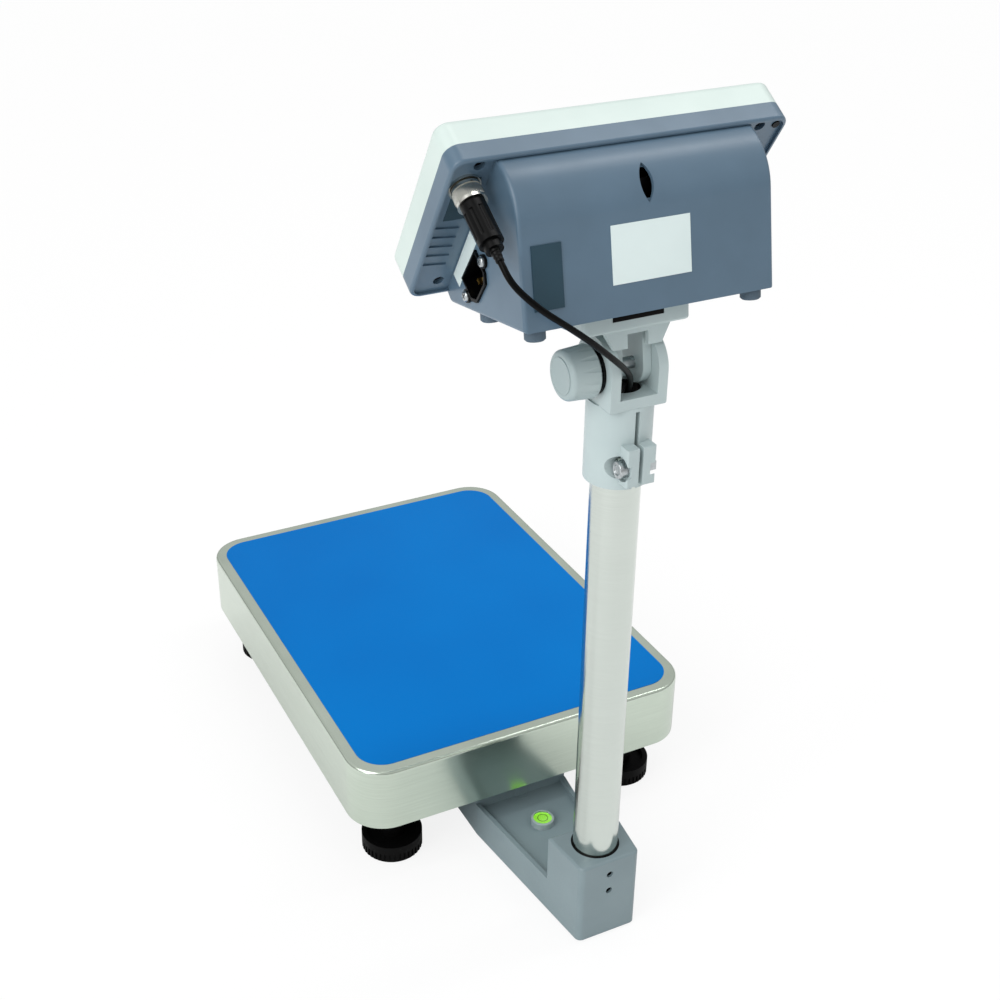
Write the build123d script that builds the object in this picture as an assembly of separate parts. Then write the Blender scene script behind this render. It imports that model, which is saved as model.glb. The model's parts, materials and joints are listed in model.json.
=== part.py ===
"""Platform scale: steel platform on a levelled base, column behind it, and an
indicator head on a clamped tilting fork.  Millimetres, +Z up, front towards -Y.

While the pieces are made, X = Y = 0 is the centre of the platform and Z = 0 the
floor.  At the end everything is moved along Y, so that the origin lies under the
middle of the whole scale.
"""
import math
import os

from build123d import *

# Platform pan and what it lies on
pan_length = 390.0
pan_width = 300.0
pan_skirt = 56.0
pan_sheet = 1.2
pan_corner_r = 32.0
pan_edge_r = 3.0
platform_height = 109.2
film_margin = 9.8
film_sheet = 0.2
film_corner_r = 23.0
pad_height = 3.0
pad_r = 8.8

# Frames, square tube, and the load cell between them
tube_wall = 1.6
top_tube = 20.0
top_frame_length = 346.0
top_frame_width = 256.0
cell_length = 130.0
cell_width = 30.0
cell_height = 22.0
cell_window_r = 7.0
cell_window_pitch = 34.0
cell_slot = 2.4
cell_bolt_pitch = 20.0
cell_bolt_end = 14.0
spacer_height = 4.0
spacer_length = 46.0
base_tube_height = 20.0
base_tube_width = 25.0
centre_beam_width = 60.0
cell_bolt_r = 3.0
bracket_bolt_r = 4.0
bolt_cap = 4.0
stop_x = 114.0
stop_y = 120.0
stop_r = 3.0
stop_gap = 0.8
stop_nut_flat = 10.0
stop_nut_height = 5.0
stop_boss_r = 6.4
hole_clearance = 0.2

# Levelling feet
foot_x = 108.9
foot_y = 155.7
foot_r = 25.0
foot_band_height = 16.5
foot_dish_r = 20.7
foot_dish_depth = 2.9
foot_hub_r = 9.5
foot_hub_proud = 4.5
foot_teeth = 40
foot_tooth_depth = 1.1
foot_tooth_height = 9.0
foot_chamfer = 1.8
foot_recess_r = 21.0
foot_recess_depth = 1.0
stud_r = 5.0
stud_seat = 4.0
stud_reach = 17.0
stud_clearance = 0.08
jam_nut_height = 5.0
jam_nut_flat = 17.0
boss_r = 8.5

# Column bracket: a cast arm under the base with a block at its end
bracket_bottom = 1.5
block_top = 73.5
block_rear = 23.5
block_front = 18.8
bracket_half_width = 25.0
bracket_flare = 0.118
bracket_kink = 178.6
bracket_front = 116.0
bracket_rim_top = 32.0
bracket_floor_top = 27.0
bracket_floor = 5.0
bracket_boss_bottom = 14.0
bracket_head_height = 5.2
bracket_head_flat = 12.8
bracket_rim = 3.5
bracket_wall = 6.0
upstand_y = 176.0
upstand_thick = 5.0
upstand_top = 53.0
bracket_corner_r = 5.0
bracket_edge_r = 2.0
bracket_bolt_x = 20.0
bracket_bolt_ys = (131.0, 156.0)
cable_hole = 4.0
cable_rise_y = 173.0

# Round level on the arm
level_y = 215.0
level_r = 9.5
level_height = 6.0
level_wall = 1.8
level_base = 1.2
fluid_height = 2.8
bubble_gap = 0.1
lens_height = 1.2

# Column
column_y = 296.3
column_r = 17.0
column_wall = 1.5
column_bottom = 38.0
column_top = 441.0
bore_clearance = 0.05
seal_width = 1.4
seal_height = 3.0
set_screw_r = 2.5
set_screw_zs = (44.0, 60.0)
set_screw_length = 4.6
set_screw_socket = 1.5

# Clamp sleeve and tilting fork
pivot_z = 469.5
sleeve_r = 22.0
sleeve_bottom = 390.7
fork_bottom = 446.7
fork_half_width = 20.5
fork_inner_half = 13.6
fork_floor = 8.5
cable_way_r = 13.2
slit_width = 3.0
ear_rear = 29.3
ear_left = 10.0
ear_right = 11.0
ear_bottom = 396.0
ear_top = 423.0
clamp_bolt_y = 21.8
clamp_bolt_z = 407.0
clamp_bolt_r = 3.0
clamp_seat_x = 7.0
clamp_seat_r = 8.5
clamp_washer_r = 6.0
clamp_washer = 1.2
clamp_flat = 10.0
clamp_head = 4.0
clamp_nut = 4.8
bolt_clearance = 0.3
fork_edge_r = 2.0
column_top_gap = 0.3

# Pivot bolt, knob and washers
pivot_r = 4.0
pivot_clearance = 0.05
pivot_head_flat = 13.0
pivot_head_height = 5.3
pivot_head_sink = 3.0
washer_r = 15.5
washer_thick = 3.3
washer_teeth = 36
washer_tooth = 1.2
knob_r = 17.5
knob_front_r = 16.2
knob_length = 20.0
knob_gap = 0.3
knob_flutes = 14
knob_flute_r = 3.0
knob_flute_reach = 19.66
knob_back_chamfer = 1.0
knob_face_r = 3.5
insert_r = 6.5
insert_length = 14.0
knob_bore_end = 6.0

# Indicator bracket, in the head's own frame
tilt = 9.0
lug_inner = 7.4
lug_outer = 13.3
lug_r = 13.2
plate_half_width = 38.0
plate_rear = 21.3
plate_front = -40.0
plate_bottom = 27.1
plate_wall = 4.5
neck_half_width = 18.0
neck_mid = 22.5
skirt_top_half = 24.0
skirt_low_half = 17.0
skirt_low = 15.5
skirt_front = 16.6
skirt_rear = 20.0
notch_half_width = 17.5
notch_height = 2.4
notch_depth = 6.0
bracket_screw_x = 29.0
bracket_screw_ys = (-31.0, 7.0)
screw_r = 2.0
screw_head_r = 3.8
screw_head_height = 2.5
screw_boss_r = 4.4
screw_seat = 5.0
screw_reach = 3.5
floor_rest = 4.5
rest_ys = (-12.0, 18.0)
rest_ends = (-80.0, 63.0)
rest_width = 3.0

# Indicator housing, in the head's own frame with the pivot at the origin
box_half_width = 87.0
box_bottom = 42.1
box_rear = 39.3
box_rear_lean = 2.0
shoulder_z = 104.1
box_front = -60.0
wall = 2.5
face_angle = 48.1
face_top_y = -5.0
face_top_z = 162.1
face_height = 125.0
head_half_width = 115.0
head_depth = 31.5
bezel_depth = 18.5
head_corner_r = 9.0
bezel_edge_r = 4.0
wing_edge_r = 2.0
wing_rim = 2.6
wing_floor_sink = 2.0
crease_width = 1.2
box_edge_r = 2.5
rib_count = 5
rib_height = 1.2
rib_width = 3.0
rib_pitch = 8.6
rib_length = 17.0
rib_low = 96.0
housing_screw_x = 96.0
housing_screw_top = 8.0
housing_screw_bottom = 113.0
housing_screw_r = 2.0
counterbore_r = 3.6
seal_pin_x = 108.0
seal_pin_r = 2.6
seal_pin_sink = 1.2
seal_pin_proud = 0.8
teardrop_y = 33.4
teardrop_z = 117.5
teardrop_lean = 22.0
teardrop_half_width = 4.4
teardrop_length = 24.0
teardrop_depth = 5.0

# Feet, plates and labels of the housing
housing_foot_r = 6.5
housing_foot_height = 7.0
housing_foot_x = 76.0
housing_foot_ys = (30.0, -28.0)
label_width = 54.5
label_height = 35.0
label_low = 19.2
label_sheet = 0.25
cover_width = 19.5
cover_height = 38.0
cover_x = 70.2
cover_low = 12.0
cover_sheet = 0.8
strip_width = 10.0
strip_length = 42.0
strip_y = -36.3
strip_z = 74.0
wing_plate_width = 16.0
wing_plate_height = 36.0
wing_plate_sink = 0.6

# Mains inlet in the +X side of the housing
inlet_y = -21.7
inlet_z = 64.4
inlet_turn = -45.0
inlet_long = 27.0
inlet_short = 20.0
inlet_cut = 5.0
inlet_flange = 1.6
inlet_depth = 18.0
inlet_wall = 1.2
inlet_slack = 0.1
inlet_mouth = 0.4
inlet_screw_pitch = 36.0
inlet_screw_r = 3.4
inlet_ear_r = 4.4
inlet_shank_r = 1.5
inlet_hole_r = 1.6
inlet_head = 2.0
inlet_head_edge = 1.6
inlet_slot = (4.2, 0.9, 1.6)
inlet_nut_flat = 5.5
inlet_nut = 2.4
inlet_pin_long = 4.0
inlet_pin_thick = 2.0
inlet_pin_pitch = 7.0
inlet_pin_length = 14.0
inlet_pin_shift = 2.0
inlet_pin_tail = 3.0

# Round signal connector on the +X wing
plug_x = 101.5
plug_down = 24.0
socket_flange_r = 10.2
socket_flange = 1.6
socket_r = 6.6
socket_length = 11.0
socket_inside = 8.0
socket_sheet = 1.2
nut_r = 9.3
nut_clearance = 0.08
nut_start = 2.4
nut_length = 11.5
nut_flutes = 48
nut_flute_r = 0.55
nut_smooth = 2.0
shell_start = 12.6
shell_gap = 0.3
shell_r = 7.6
shell_length = 30.0
shell_flutes = 8
shell_flute_r = 1.4
shell_flute_out = 0.6
shell_smooth = (7.0, 4.0)
neck_r = 5.6
neck_length = 5.0
plug_body_r = 6.3

# Window, display, keys and boards in the head
window_width = 176.0
window_height = 52.0
window_drop = 16.0
window_sheet = 2.0
window_ledge = 2.5
window_gap = 0.15
lcd_width = 150.0
lcd_height = 44.0
overlay_width = 206.0
overlay_height = 110.0
overlay_sheet = 0.5
overlay_corner_r = 6.0
key_count = 5
key_width = 24.0
key_height = 14.0
key_pitch = 36.0
key_down = 96.0
key_proud = 1.4
key_edge_r = 0.5
key_stem_r = 3.0
key_gap = 0.3
key_travel = 0.6
key_collar_r = 4.4
key_collar = 1.0
key_corner_r = 2.0
switch_height = 5.0
switch_side = 6.0
board_width = 180.0
board_height = 96.0
board_sheet = 1.6
board_back = 15.5
post_r = 4.0
post_hole_r = 1.2
post_hole = 7.0
post_inset = 5.0
lcd_front_gap = 1.0
battery_size = (100.0, 47.0, 70.0)
battery_x = -30.0
battery_tab = (5.0, 1.0, 5.0)
battery_y = 4.0
transformer_size = (42.0, 40.0, 36.0)
transformer_x = 42.0
transformer_y = 4.0
core_share = 0.55
coil_share = 0.7

# Signal cable
cable_r = 2.0
column_cable_r = 2.0
cable_turn_share = 0.45
cable_end_z = 420.0
held_bend_r = 20.0
plug_run = 9.0

# Route of the free cable from the plug to the top of the column, platform frame
cable_route = [
    (99.0, 332.5, 552.5),
    (92.0, 337.5, 544.0),
    (81.5, 340.0, 534.5),
    (68.0, 340.0, 524.5),
    (52.5, 338.0, 512.5),
    (37.0, 334.0, 499.5),
    (23.5, 328.5, 487.5),
    (12.0, 321.5, 477.0),
    (4.0, 314.0, 467.0),
    (1.0, 307.0, 456.5),
    (0.2, 300.5, 446.0),
    (0.0, 296.3, 434.0),
]


def plate(width, length, corner_r, height, z=0.0):
    """A plate with rounded corners whose underside lies at z."""
    return Pos(0, 0, z) * extrude(RectangleRounded(width, length, corner_r), height)


def block(x0, x1, y0, y1, z0, z1):
    """A box between two corners."""
    size = (x1 - x0, y1 - y0, z1 - z0)
    middle = ((x0 + x1) / 2, (y0 + y1) / 2, (z0 + z1) / 2)
    return Pos(*middle) * Box(*size)


def rod_x(radius, x0, x1, y, z):
    """A round bar along X."""
    return Pos((x0 + x1) / 2, y, z) * Rot(0, 90, 0) * Cylinder(radius, abs(x1 - x0))


def rod_y(radius, y0, y1, x, z):
    """A round bar along Y."""
    return Pos(x, (y0 + y1) / 2, z) * Rot(90, 0, 0) * Cylinder(radius, abs(y1 - y0))


def rod_z(radius, z0, z1, x=0.0, y=0.0):
    """A round bar along Z."""
    return Pos(x, y, (z0 + z1) / 2) * Cylinder(radius, abs(z1 - z0))


def hexagon(flat, height):
    """A hexagonal prism standing on its own origin."""
    return extrude(RegularPolygon(flat / 2, 6, major_radius=False), height)


def tube_along_y(x, z, size_x, size_z, y0, y1):
    """A welded rectangular tube along Y, open at its ends."""
    outer = block(x - size_x / 2, x + size_x / 2, y0, y1, z, z + size_z)
    return outer - block(x - size_x / 2 + tube_wall, x + size_x / 2 - tube_wall, y0 - 1, y1 + 1,
                         z + tube_wall, z + size_z - tube_wall)


def tube_along_x(y, z, size_y, size_z, x0, x1):
    """A welded rectangular tube along X, open at its ends."""
    outer = block(x0, x1, y - size_y / 2, y + size_y / 2, z, z + size_z)
    return outer - block(x0 - 1, x1 + 1, y - size_y / 2 + tube_wall, y + size_y / 2 - tube_wall,
                         z + tube_wall, z + size_z - tube_wall)


def group(solids):
    """Separate solids that share one node."""
    return Compound(children=list(solids))


# Places that follow from the dimensions above
pan_under = platform_height - pan_sheet
top_frame_top = pan_under - pad_height
top_frame_bottom = top_frame_top - top_tube
cell_top = top_frame_bottom - spacer_height
cell_bottom = cell_top - cell_height
base_top = cell_bottom - spacer_height
base_bottom = base_top - base_tube_height
foot_height = foot_band_height + foot_hub_proud
corner_signs = [(1, 1), (-1, 1), (1, -1), (-1, -1)]
feet_points = [(sx * foot_x, sy * foot_y) for sx, sy in corner_signs]
feet_names = ["rear_left", "rear_right", "front_left", "front_right"]
pad_x = (top_frame_width - top_tube) / 2
pad_y = (top_frame_length - top_tube) / 2
knob_start = fork_half_width + washer_thick + knob_gap
knob_bore_stop = knob_start + knob_length - knob_bore_end
housing_floor = box_bottom + wall
rest_top = housing_floor + floor_rest
floor_n = -head_depth + wing_floor_sink
board_front_n = -board_back + board_sheet
bezel_inner_n = -wall - overlay_sheet
switch_front_n = board_front_n + switch_height
plug_exit_n = floor_n - shell_start - shell_length - neck_length
wing_plate_x = plug_x - 2
wing_plate_u = -plug_down - wing_plate_height / 2 + 6
face_sin = math.sin(math.radians(face_angle))
face_cos = math.cos(math.radians(face_angle))
face_plane = Plane(origin=(0, face_top_y, face_top_z), x_dir=(1, 0, 0), z_dir=(0, -face_sin, face_cos))
head_normal = Axis((0, 0, 0), (0, -face_sin, face_cos))


def make_pan():
    """Drawn stainless tray, open below."""
    outer = plate(pan_width, pan_length, pan_corner_r, pan_skirt, platform_height - pan_skirt)
    outer = fillet(outer.edges().group_by(Axis.Z)[-1], pan_edge_r)
    inner = plate(pan_width - 2 * pan_sheet, pan_length - 2 * pan_sheet, pan_corner_r - pan_sheet,
                  pan_skirt - pan_sheet, platform_height - pan_skirt)
    inner = fillet(inner.edges().group_by(Axis.Z)[-1], pan_edge_r - pan_sheet)
    return outer - inner


def make_film():
    """Protective film on the platform."""
    return plate(pan_width - 2 * film_margin, pan_length - 2 * film_margin, film_corner_r,
                 film_sheet, platform_height)


def make_pads():
    """Four rubber pads between the carrier frame and the pan."""
    return group(rod_z(pad_r, top_frame_top, pan_under, sx * pad_x, sy * pad_y) for sx, sy in corner_signs)


def make_top_frame():
    """Carrier of square tube with two cross members over the load cell's live end."""
    half_length = top_frame_length / 2
    half_width = top_frame_width / 2
    frame = Part()
    for side in (-1, 1):
        frame += tube_along_y(side * pad_x, top_frame_bottom, top_tube, top_tube, -half_length, half_length)
    for y in (-pad_y, pad_y):
        frame += tube_along_x(y, top_frame_bottom, top_tube, top_tube, -pad_x, pad_x)
    beam_y = -(cell_length - spacer_length) / 2
    live = block(-pad_x, pad_x, beam_y - spacer_length / 2, beam_y + spacer_length / 2,
                 top_frame_bottom, top_frame_bottom + top_tube)
    live -= block(-half_width, half_width, beam_y - spacer_length / 2 + tube_wall,
                  beam_y + spacer_length / 2 - tube_wall, top_frame_bottom + tube_wall,
                  top_frame_bottom + top_tube - tube_wall)
    for side in (-1, 1):
        live -= block(side * pad_x - top_tube / 2 + tube_wall, side * pad_x + top_tube / 2 - tube_wall,
                      -half_length, half_length, top_frame_bottom + tube_wall, top_frame_top - tube_wall)
    frame += live
    for x, y in cell_bolt_points(-1):
        frame += rod_z(boss_r, top_frame_bottom, top_frame_top, x, y)
        frame -= rod_z(cell_bolt_r + hole_clearance, top_frame_bottom - 1, top_frame_top - bolt_cap, x, y)
    return frame


def cell_bolt_points(end):
    """Two bolts in line at one end of the load cell: +1 rear and fixed, -1 front and live."""
    return [(0.0, end * (cell_length / 2 - cell_bolt_end - k * cell_bolt_pitch)) for k in (0, 1)]


def make_load_cell():
    """Single-point aluminium bar with the double-hole window."""
    bar = block(-cell_width / 2, cell_width / 2, -cell_length / 2, cell_length / 2, cell_bottom, cell_top)
    middle = (cell_bottom + cell_top) / 2
    for side in (-1, 1):
        bar -= rod_x(cell_window_r, -cell_width, cell_width, side * cell_window_pitch / 2, middle)
    bar -= block(-cell_width, cell_width, -cell_window_pitch / 2, cell_window_pitch / 2,
                 middle - cell_slot, middle + cell_slot)
    for end, z0, z1 in ((1, cell_bottom - 1, middle), (-1, middle, cell_top + 1)):
        for x, y in cell_bolt_points(end):
            bar -= rod_z(cell_bolt_r + hole_clearance, z0, z1, x, y)
    return bar


def make_spacers():
    """Plates that keep the bar clear of both frames."""
    plates = []
    for end, z in ((1, base_top), (-1, cell_top)):
        middle = end * (cell_length - spacer_length) / 2
        one = block(-cell_width / 2, cell_width / 2, middle - spacer_length / 2, middle + spacer_length / 2,
                    z, z + spacer_height)
        for x, y in cell_bolt_points(end):
            one -= rod_z(cell_bolt_r + hole_clearance, z - 1, z + spacer_height + 1, x, y)
        plates.append(one)
    return group(plates)


def make_cell_bolts():
    """Four bolts: two up into the fixed end, two up from the live end into the carrier."""
    middle = (cell_bottom + cell_top) / 2
    bolts = []
    for x, y in cell_bolt_points(1):
        bolts.append(rod_z(cell_bolt_r, base_bottom + bolt_cap, middle - 1, x, y))
    for x, y in cell_bolt_points(-1):
        bolts.append(rod_z(cell_bolt_r, middle + 1, top_frame_top - bolt_cap, x, y))
    return group(bolts)


def make_base_frame():
    """Lower frame: side tubes, cross tubes and a wide beam under the load cell."""
    half = foot_y + base_tube_width / 2
    frame = Part()
    for side in (-1, 1):
        frame += tube_along_y(side * foot_x, base_bottom, base_tube_width, base_tube_height, -half, half)
    for y in (-foot_y, foot_y):
        frame += tube_along_x(y, base_bottom, base_tube_width, base_tube_height, -foot_x, foot_x)
    beam_end = foot_y - base_tube_width / 2 + tube_wall
    frame += tube_along_y(0, base_bottom, centre_beam_width, base_tube_height, -beam_end, beam_end)
    for x, y in feet_points + bracket_bolt_points() + cell_bolt_points(1):
        frame += rod_z(boss_r, base_bottom, base_top, x, y)
    for x, y in stop_points():
        frame += rod_z(stop_boss_r, base_bottom, base_top, x, y)
    for x, y in feet_points:
        frame -= rod_z(stud_r + stud_clearance, base_bottom - 1, base_top + 1, x, y)
    for x, y in bracket_bolt_points():
        frame -= rod_z(bracket_bolt_r + hole_clearance, base_bottom - 1, base_top - bolt_cap, x, y)
    for x, y in cell_bolt_points(1):
        frame -= rod_z(cell_bolt_r + hole_clearance, base_bottom + bolt_cap, base_top + 1, x, y)
    for x, y in stop_points():
        frame -= rod_z(stop_r + hole_clearance, base_bottom + bolt_cap, base_top + 1, x, y)
    return frame


def stop_points():
    """The four overload stops, on the side tubes under the carrier's side tubes."""
    return [(sx * stop_x, sy * stop_y) for sx, sy in corner_signs]


def bracket_bolt_points():
    """Four bolts that hold the bracket under the base frame."""
    return [(sx * bracket_bolt_x, y) for sx in (-1, 1) for y in bracket_bolt_ys]


def make_stops():
    """Overload stop screws with their nuts, ending a little below the carrier."""
    screws = []
    for x, y in stop_points():
        shank = rod_z(stop_r, base_bottom + bolt_cap, top_frame_bottom - stop_gap, x, y)
        screws.append(shank + Pos(x, y, base_top) * hexagon(stop_nut_flat, stop_nut_height))
    return group(screws)


def make_foot(x, y):
    """Moulded foot: knurled band, dished top and hub, with a seat for the stud."""
    foot = rod_z(foot_r, 0, foot_band_height, x, y)
    foot = chamfer(foot.edges().group_by(Axis.Z)[0], foot_chamfer)
    foot -= rod_z(foot_dish_r, foot_band_height - foot_dish_depth, foot_band_height + 1, x, y)
    foot += rod_z(foot_hub_r, foot_band_height - foot_dish_depth, foot_height, x, y)
    groove = Box(2 * foot_tooth_depth, math.pi * foot_r / foot_teeth, foot_tooth_height)
    for k in range(foot_teeth):
        turned = Rot(0, 0, k * 360 / foot_teeth) * Pos(foot_r, 0, 0) * groove
        foot -= Pos(x, y, foot_tooth_height / 2) * turned
    foot -= rod_z(foot_recess_r, -1, foot_recess_depth, x, y)
    foot += rod_z(foot_recess_r - 2 * foot_recess_depth, 0, foot_recess_depth, x, y)
    return foot - rod_z(stud_r + stud_clearance, stud_seat, foot_height + 1, x, y)


def make_stud(x, y):
    """Threaded stud of one foot, drawn as its outside cylinder."""
    return rod_z(stud_r, stud_seat, base_bottom + stud_reach, x, y)


def make_jam_nuts():
    """Thin nuts that lock the studs under the base frame."""
    nuts = []
    for x, y in feet_points:
        nut = Pos(x, y, base_bottom - jam_nut_height) * hexagon(jam_nut_flat, jam_nut_height)
        nuts.append(nut - rod_z(stud_r + stud_clearance, 0, base_top, x, y))
    return group(nuts)


def arm_half_width(y):
    """Half width of the bracket's outline at a place along Y."""
    rear = column_y + block_rear
    return bracket_half_width + bracket_flare * (rear - max(y, bracket_kink))


def arm_outline(inset, y0, y1):
    """Plan outline of the bracket between two places along Y, drawn in by an inset."""
    ys = [y0]
    if y0 < bracket_kink < y1:
        ys.append(bracket_kink)
    ys.append(y1)
    right = [(arm_half_width(y) - inset, y) for y in ys]
    left = [(-x, y) for x, y in reversed(right)]
    return make_face(Polyline(right + left, close=True))


def between(outline, z0, z1):
    """A plan outline raised between two heights."""
    return Pos(0, 0, z0) * extrude(outline, z1 - z0)


def make_bracket():
    """Cast arm with a sunk floor, an upstand behind the platform and the column block."""
    rear = column_y + block_rear
    front = column_y - block_front
    body = between(arm_outline(0, bracket_front, rear), bracket_bottom, bracket_rim_top)
    body += between(arm_outline(0, front, rear), bracket_bottom, block_top)
    upright = [e for e in body.edges().filter_by(Axis.Z) if e.center().Y > rear - 1]
    body = fillet(upright, bracket_corner_r)
    body = fillet(body.faces().sort_by(Axis.Z)[-1].edges(), bracket_edge_r)
    stand_y = upstand_y - upstand_thick
    body += between(arm_outline(0, bracket_front, stand_y), bracket_rim_top, base_bottom)
    body += between(arm_outline(0, stand_y, upstand_y), bracket_floor_top, upstand_top)
    body -= between(arm_outline(bracket_rim, upstand_y, front), bracket_floor_top, block_top + 1)
    hollow_top = bracket_floor_top - bracket_floor
    body -= between(arm_outline(bracket_wall, bracket_front + bracket_wall, front), 0, hollow_top)
    body -= between(arm_outline(bracket_wall, front - 1, rear - bracket_wall), 0, column_bottom - bracket_floor)
    body -= rod_z(column_r + bore_clearance, column_bottom, block_top + 1, 0, column_y)
    body -= rod_z(column_r - column_wall, 0, column_bottom + 1, 0, column_y)
    body -= rod_z(column_r + seal_width, block_top - seal_height, block_top + 1, 0, column_y)
    for z in set_screw_zs:
        body -= rod_y(set_screw_r + hole_clearance, column_y + column_r - 1, rear + 1, 0, z)
    for x, y in bracket_bolt_points():
        body += rod_z(boss_r, bracket_boss_bottom, bracket_rim_top, x, y)
        body -= rod_z(bracket_bolt_r + hole_clearance, 0, base_bottom + 1, x, y)
    body -= block(-cable_hole, cable_hole, cable_rise_y - cable_hole, cable_rise_y + 2 * cable_hole, 0, base_top)
    return body


def make_bracket_bolts():
    """Hexagon bolts that hold the bracket under the base frame."""
    bolts = []
    for x, y in bracket_bolt_points():
        shank = rod_z(bracket_bolt_r, bracket_boss_bottom - 1, base_top - bolt_cap - 1, x, y)
        head = hexagon(bracket_head_flat, bracket_head_height)
        bolts.append(shank + Pos(x, y, bracket_boss_bottom - bracket_head_height) * head)
    return group(bolts)


def make_level_cup():
    """Holder of the round level."""
    top = bracket_floor_top + level_height
    cup = rod_z(level_r, bracket_floor_top, top, 0, level_y)
    cup = fillet(cup.edges().group_by(Axis.Z)[-1], level_wall / 2)
    return cup - rod_z(level_r - level_wall, bracket_floor_top + level_base, top + 1, 0, level_y)


def make_level_fluid():
    """Tinted filling of the round level."""
    bottom = bracket_floor_top + level_base
    return rod_z(level_r - level_wall - bubble_gap / 2, bottom, bottom + fluid_height, 0, level_y)


def make_level_lens():
    """Clear lens over the filling."""
    bottom = bracket_floor_top + level_base + fluid_height + bubble_gap
    return rod_z(level_r - level_wall, bottom, bottom + lens_height, 0, level_y)


def make_column():
    """Stainless tube between the bracket and the fork."""
    tube = rod_z(column_r, column_bottom, column_top, 0, column_y)
    return tube - rod_z(column_r - column_wall, column_bottom - 1, column_top + 1, 0, column_y)


def make_seal():
    """Rubber ring round the column's foot."""
    ring = rod_z(column_r + seal_width, block_top - seal_height, block_top, 0, column_y)
    return ring - rod_z(column_r, 0, block_top + 1, 0, column_y)


def make_set_screws():
    """Two grub screws that grip the column."""
    start = column_y + column_r
    screws = []
    for z in set_screw_zs:
        screw = rod_y(set_screw_r, start, start + set_screw_length, 0, z)
        socket = Rot(-90, 0, 0) * hexagon(set_screw_r, 2 * set_screw_socket)
        socket = Pos(0, start + set_screw_length - set_screw_socket, z) * socket
        screws.append(screw - socket)
    return group(screws)


def make_fork():
    """Split clamp sleeve and the two ears of the tilting joint, one casting."""
    sleeve = rod_z(sleeve_r, sleeve_bottom, fork_bottom + 1, 0, column_y)
    yoke = block(-fork_half_width, fork_half_width, column_y - sleeve_r, column_y + sleeve_r, fork_bottom, pivot_z)
    yoke = fillet(yoke.edges().group_by(Axis.Z)[0], fork_edge_r)
    yoke += rod_x(sleeve_r, -fork_half_width, fork_half_width, column_y, pivot_z)
    floor_z = fork_bottom + fork_floor
    yoke -= block(-fork_inner_half, fork_inner_half, column_y - 2 * sleeve_r, column_y + 2 * sleeve_r,
                  floor_z, pivot_z + 2 * sleeve_r)
    ears = block(-ear_right, ear_left, column_y, column_y + ear_rear, ear_bottom, ear_top)
    ears = fillet(ears.edges().group_by(Axis.Y)[-1], fork_edge_r / 2)
    body = sleeve + yoke + ears
    bore_top = column_top + column_top_gap
    body -= rod_z(column_r + bore_clearance, sleeve_bottom - 1, bore_top, 0, column_y)
    body -= rod_z(cable_way_r, bore_top - 1, floor_z + 1, 0, column_y)
    body -= block(-slit_width / 2, slit_width / 2, column_y, column_y + ear_rear + 1,
                  sleeve_bottom - 1, fork_bottom - slit_width / 2)
    bolt_y = column_y + clamp_bolt_y
    body -= rod_x(clamp_bolt_r + bolt_clearance, -sleeve_r, sleeve_r, bolt_y, clamp_bolt_z)
    body -= rod_x(clamp_seat_r, clamp_seat_x, 2 * sleeve_r, bolt_y, clamp_bolt_z)
    body -= rod_x(clamp_seat_r, -2 * sleeve_r, -clamp_seat_x, bolt_y, clamp_bolt_z)
    body -= rod_x(pivot_r + pivot_clearance, -2 * sleeve_r, 2 * sleeve_r, column_y, pivot_z)
    recess = Rot(0, -90, 0) * hexagon(pivot_head_flat + pivot_clearance * 2, pivot_head_height)
    body -= Pos(-fork_half_width + pivot_head_sink, column_y, pivot_z) * recess
    return body


def make_clamp_bolt():
    """Clamp bolt, its two washers and its nut."""
    y = column_y + clamp_bolt_y
    outside = clamp_seat_x + clamp_washer
    bolt = rod_x(clamp_bolt_r, -outside - clamp_nut - 1, outside, y, clamp_bolt_z)
    bolt += Pos(outside, y, clamp_bolt_z) * Rot(0, 90, 0) * hexagon(clamp_flat, clamp_head)
    nut = Pos(-outside, y, clamp_bolt_z) * Rot(0, -90, 0) * hexagon(clamp_flat, clamp_nut)
    hole = rod_x(clamp_bolt_r + hole_clearance, -2 * sleeve_r, 2 * sleeve_r, y, clamp_bolt_z)
    rings = []
    for side in (-1, 1):
        ring = rod_x(clamp_washer_r, side * clamp_seat_x, side * outside, y, clamp_bolt_z)
        rings.append(ring - hole)
    return group([bolt, nut - hole] + rings)


def make_pivot_bolt():
    """Bolt through both ears and both lugs, its head sunk in the -X ear."""
    head_x = -fork_half_width + pivot_head_sink
    shank = rod_x(pivot_r, head_x, knob_bore_stop - 1, column_y, pivot_z)
    return shank + Pos(head_x, column_y, pivot_z) * Rot(0, -90, 0) * hexagon(pivot_head_flat, pivot_head_height)


def make_knob():
    """Fluted clamping knob with a blind bore for its threaded insert."""
    cone = Rot(0, 90, 0) * Cone(knob_r, knob_front_r, knob_length)
    knob = Pos(knob_start + knob_length / 2, column_y, pivot_z) * cone
    knob = fillet(knob.edges().group_by(Axis.X)[-1], knob_face_r)
    knob = chamfer(knob.edges().group_by(Axis.X)[0], knob_back_chamfer)
    flute = rod_x(knob_flute_r, knob_start - 1, knob_start + knob_length - knob_face_r, 0, 0)
    for k in range(knob_flutes):
        turn = k * 2 * math.pi / knob_flutes
        y = column_y + knob_flute_reach * math.cos(turn)
        knob -= Pos(0, y, pivot_z + knob_flute_reach * math.sin(turn)) * flute
    knob -= rod_x(insert_r, knob_start - 1, knob_start + insert_length, column_y, pivot_z)
    return knob - rod_x(pivot_r + pivot_clearance, knob_start, knob_bore_stop, column_y, pivot_z)


def make_insert():
    """Brass insert, threaded on the pivot bolt, moulded into the knob."""
    insert = rod_x(insert_r - pivot_clearance, knob_start, knob_start + insert_length, column_y, pivot_z)
    return insert - rod_x(pivot_r + pivot_clearance, 0, 2 * knob_start, column_y, pivot_z)


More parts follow.
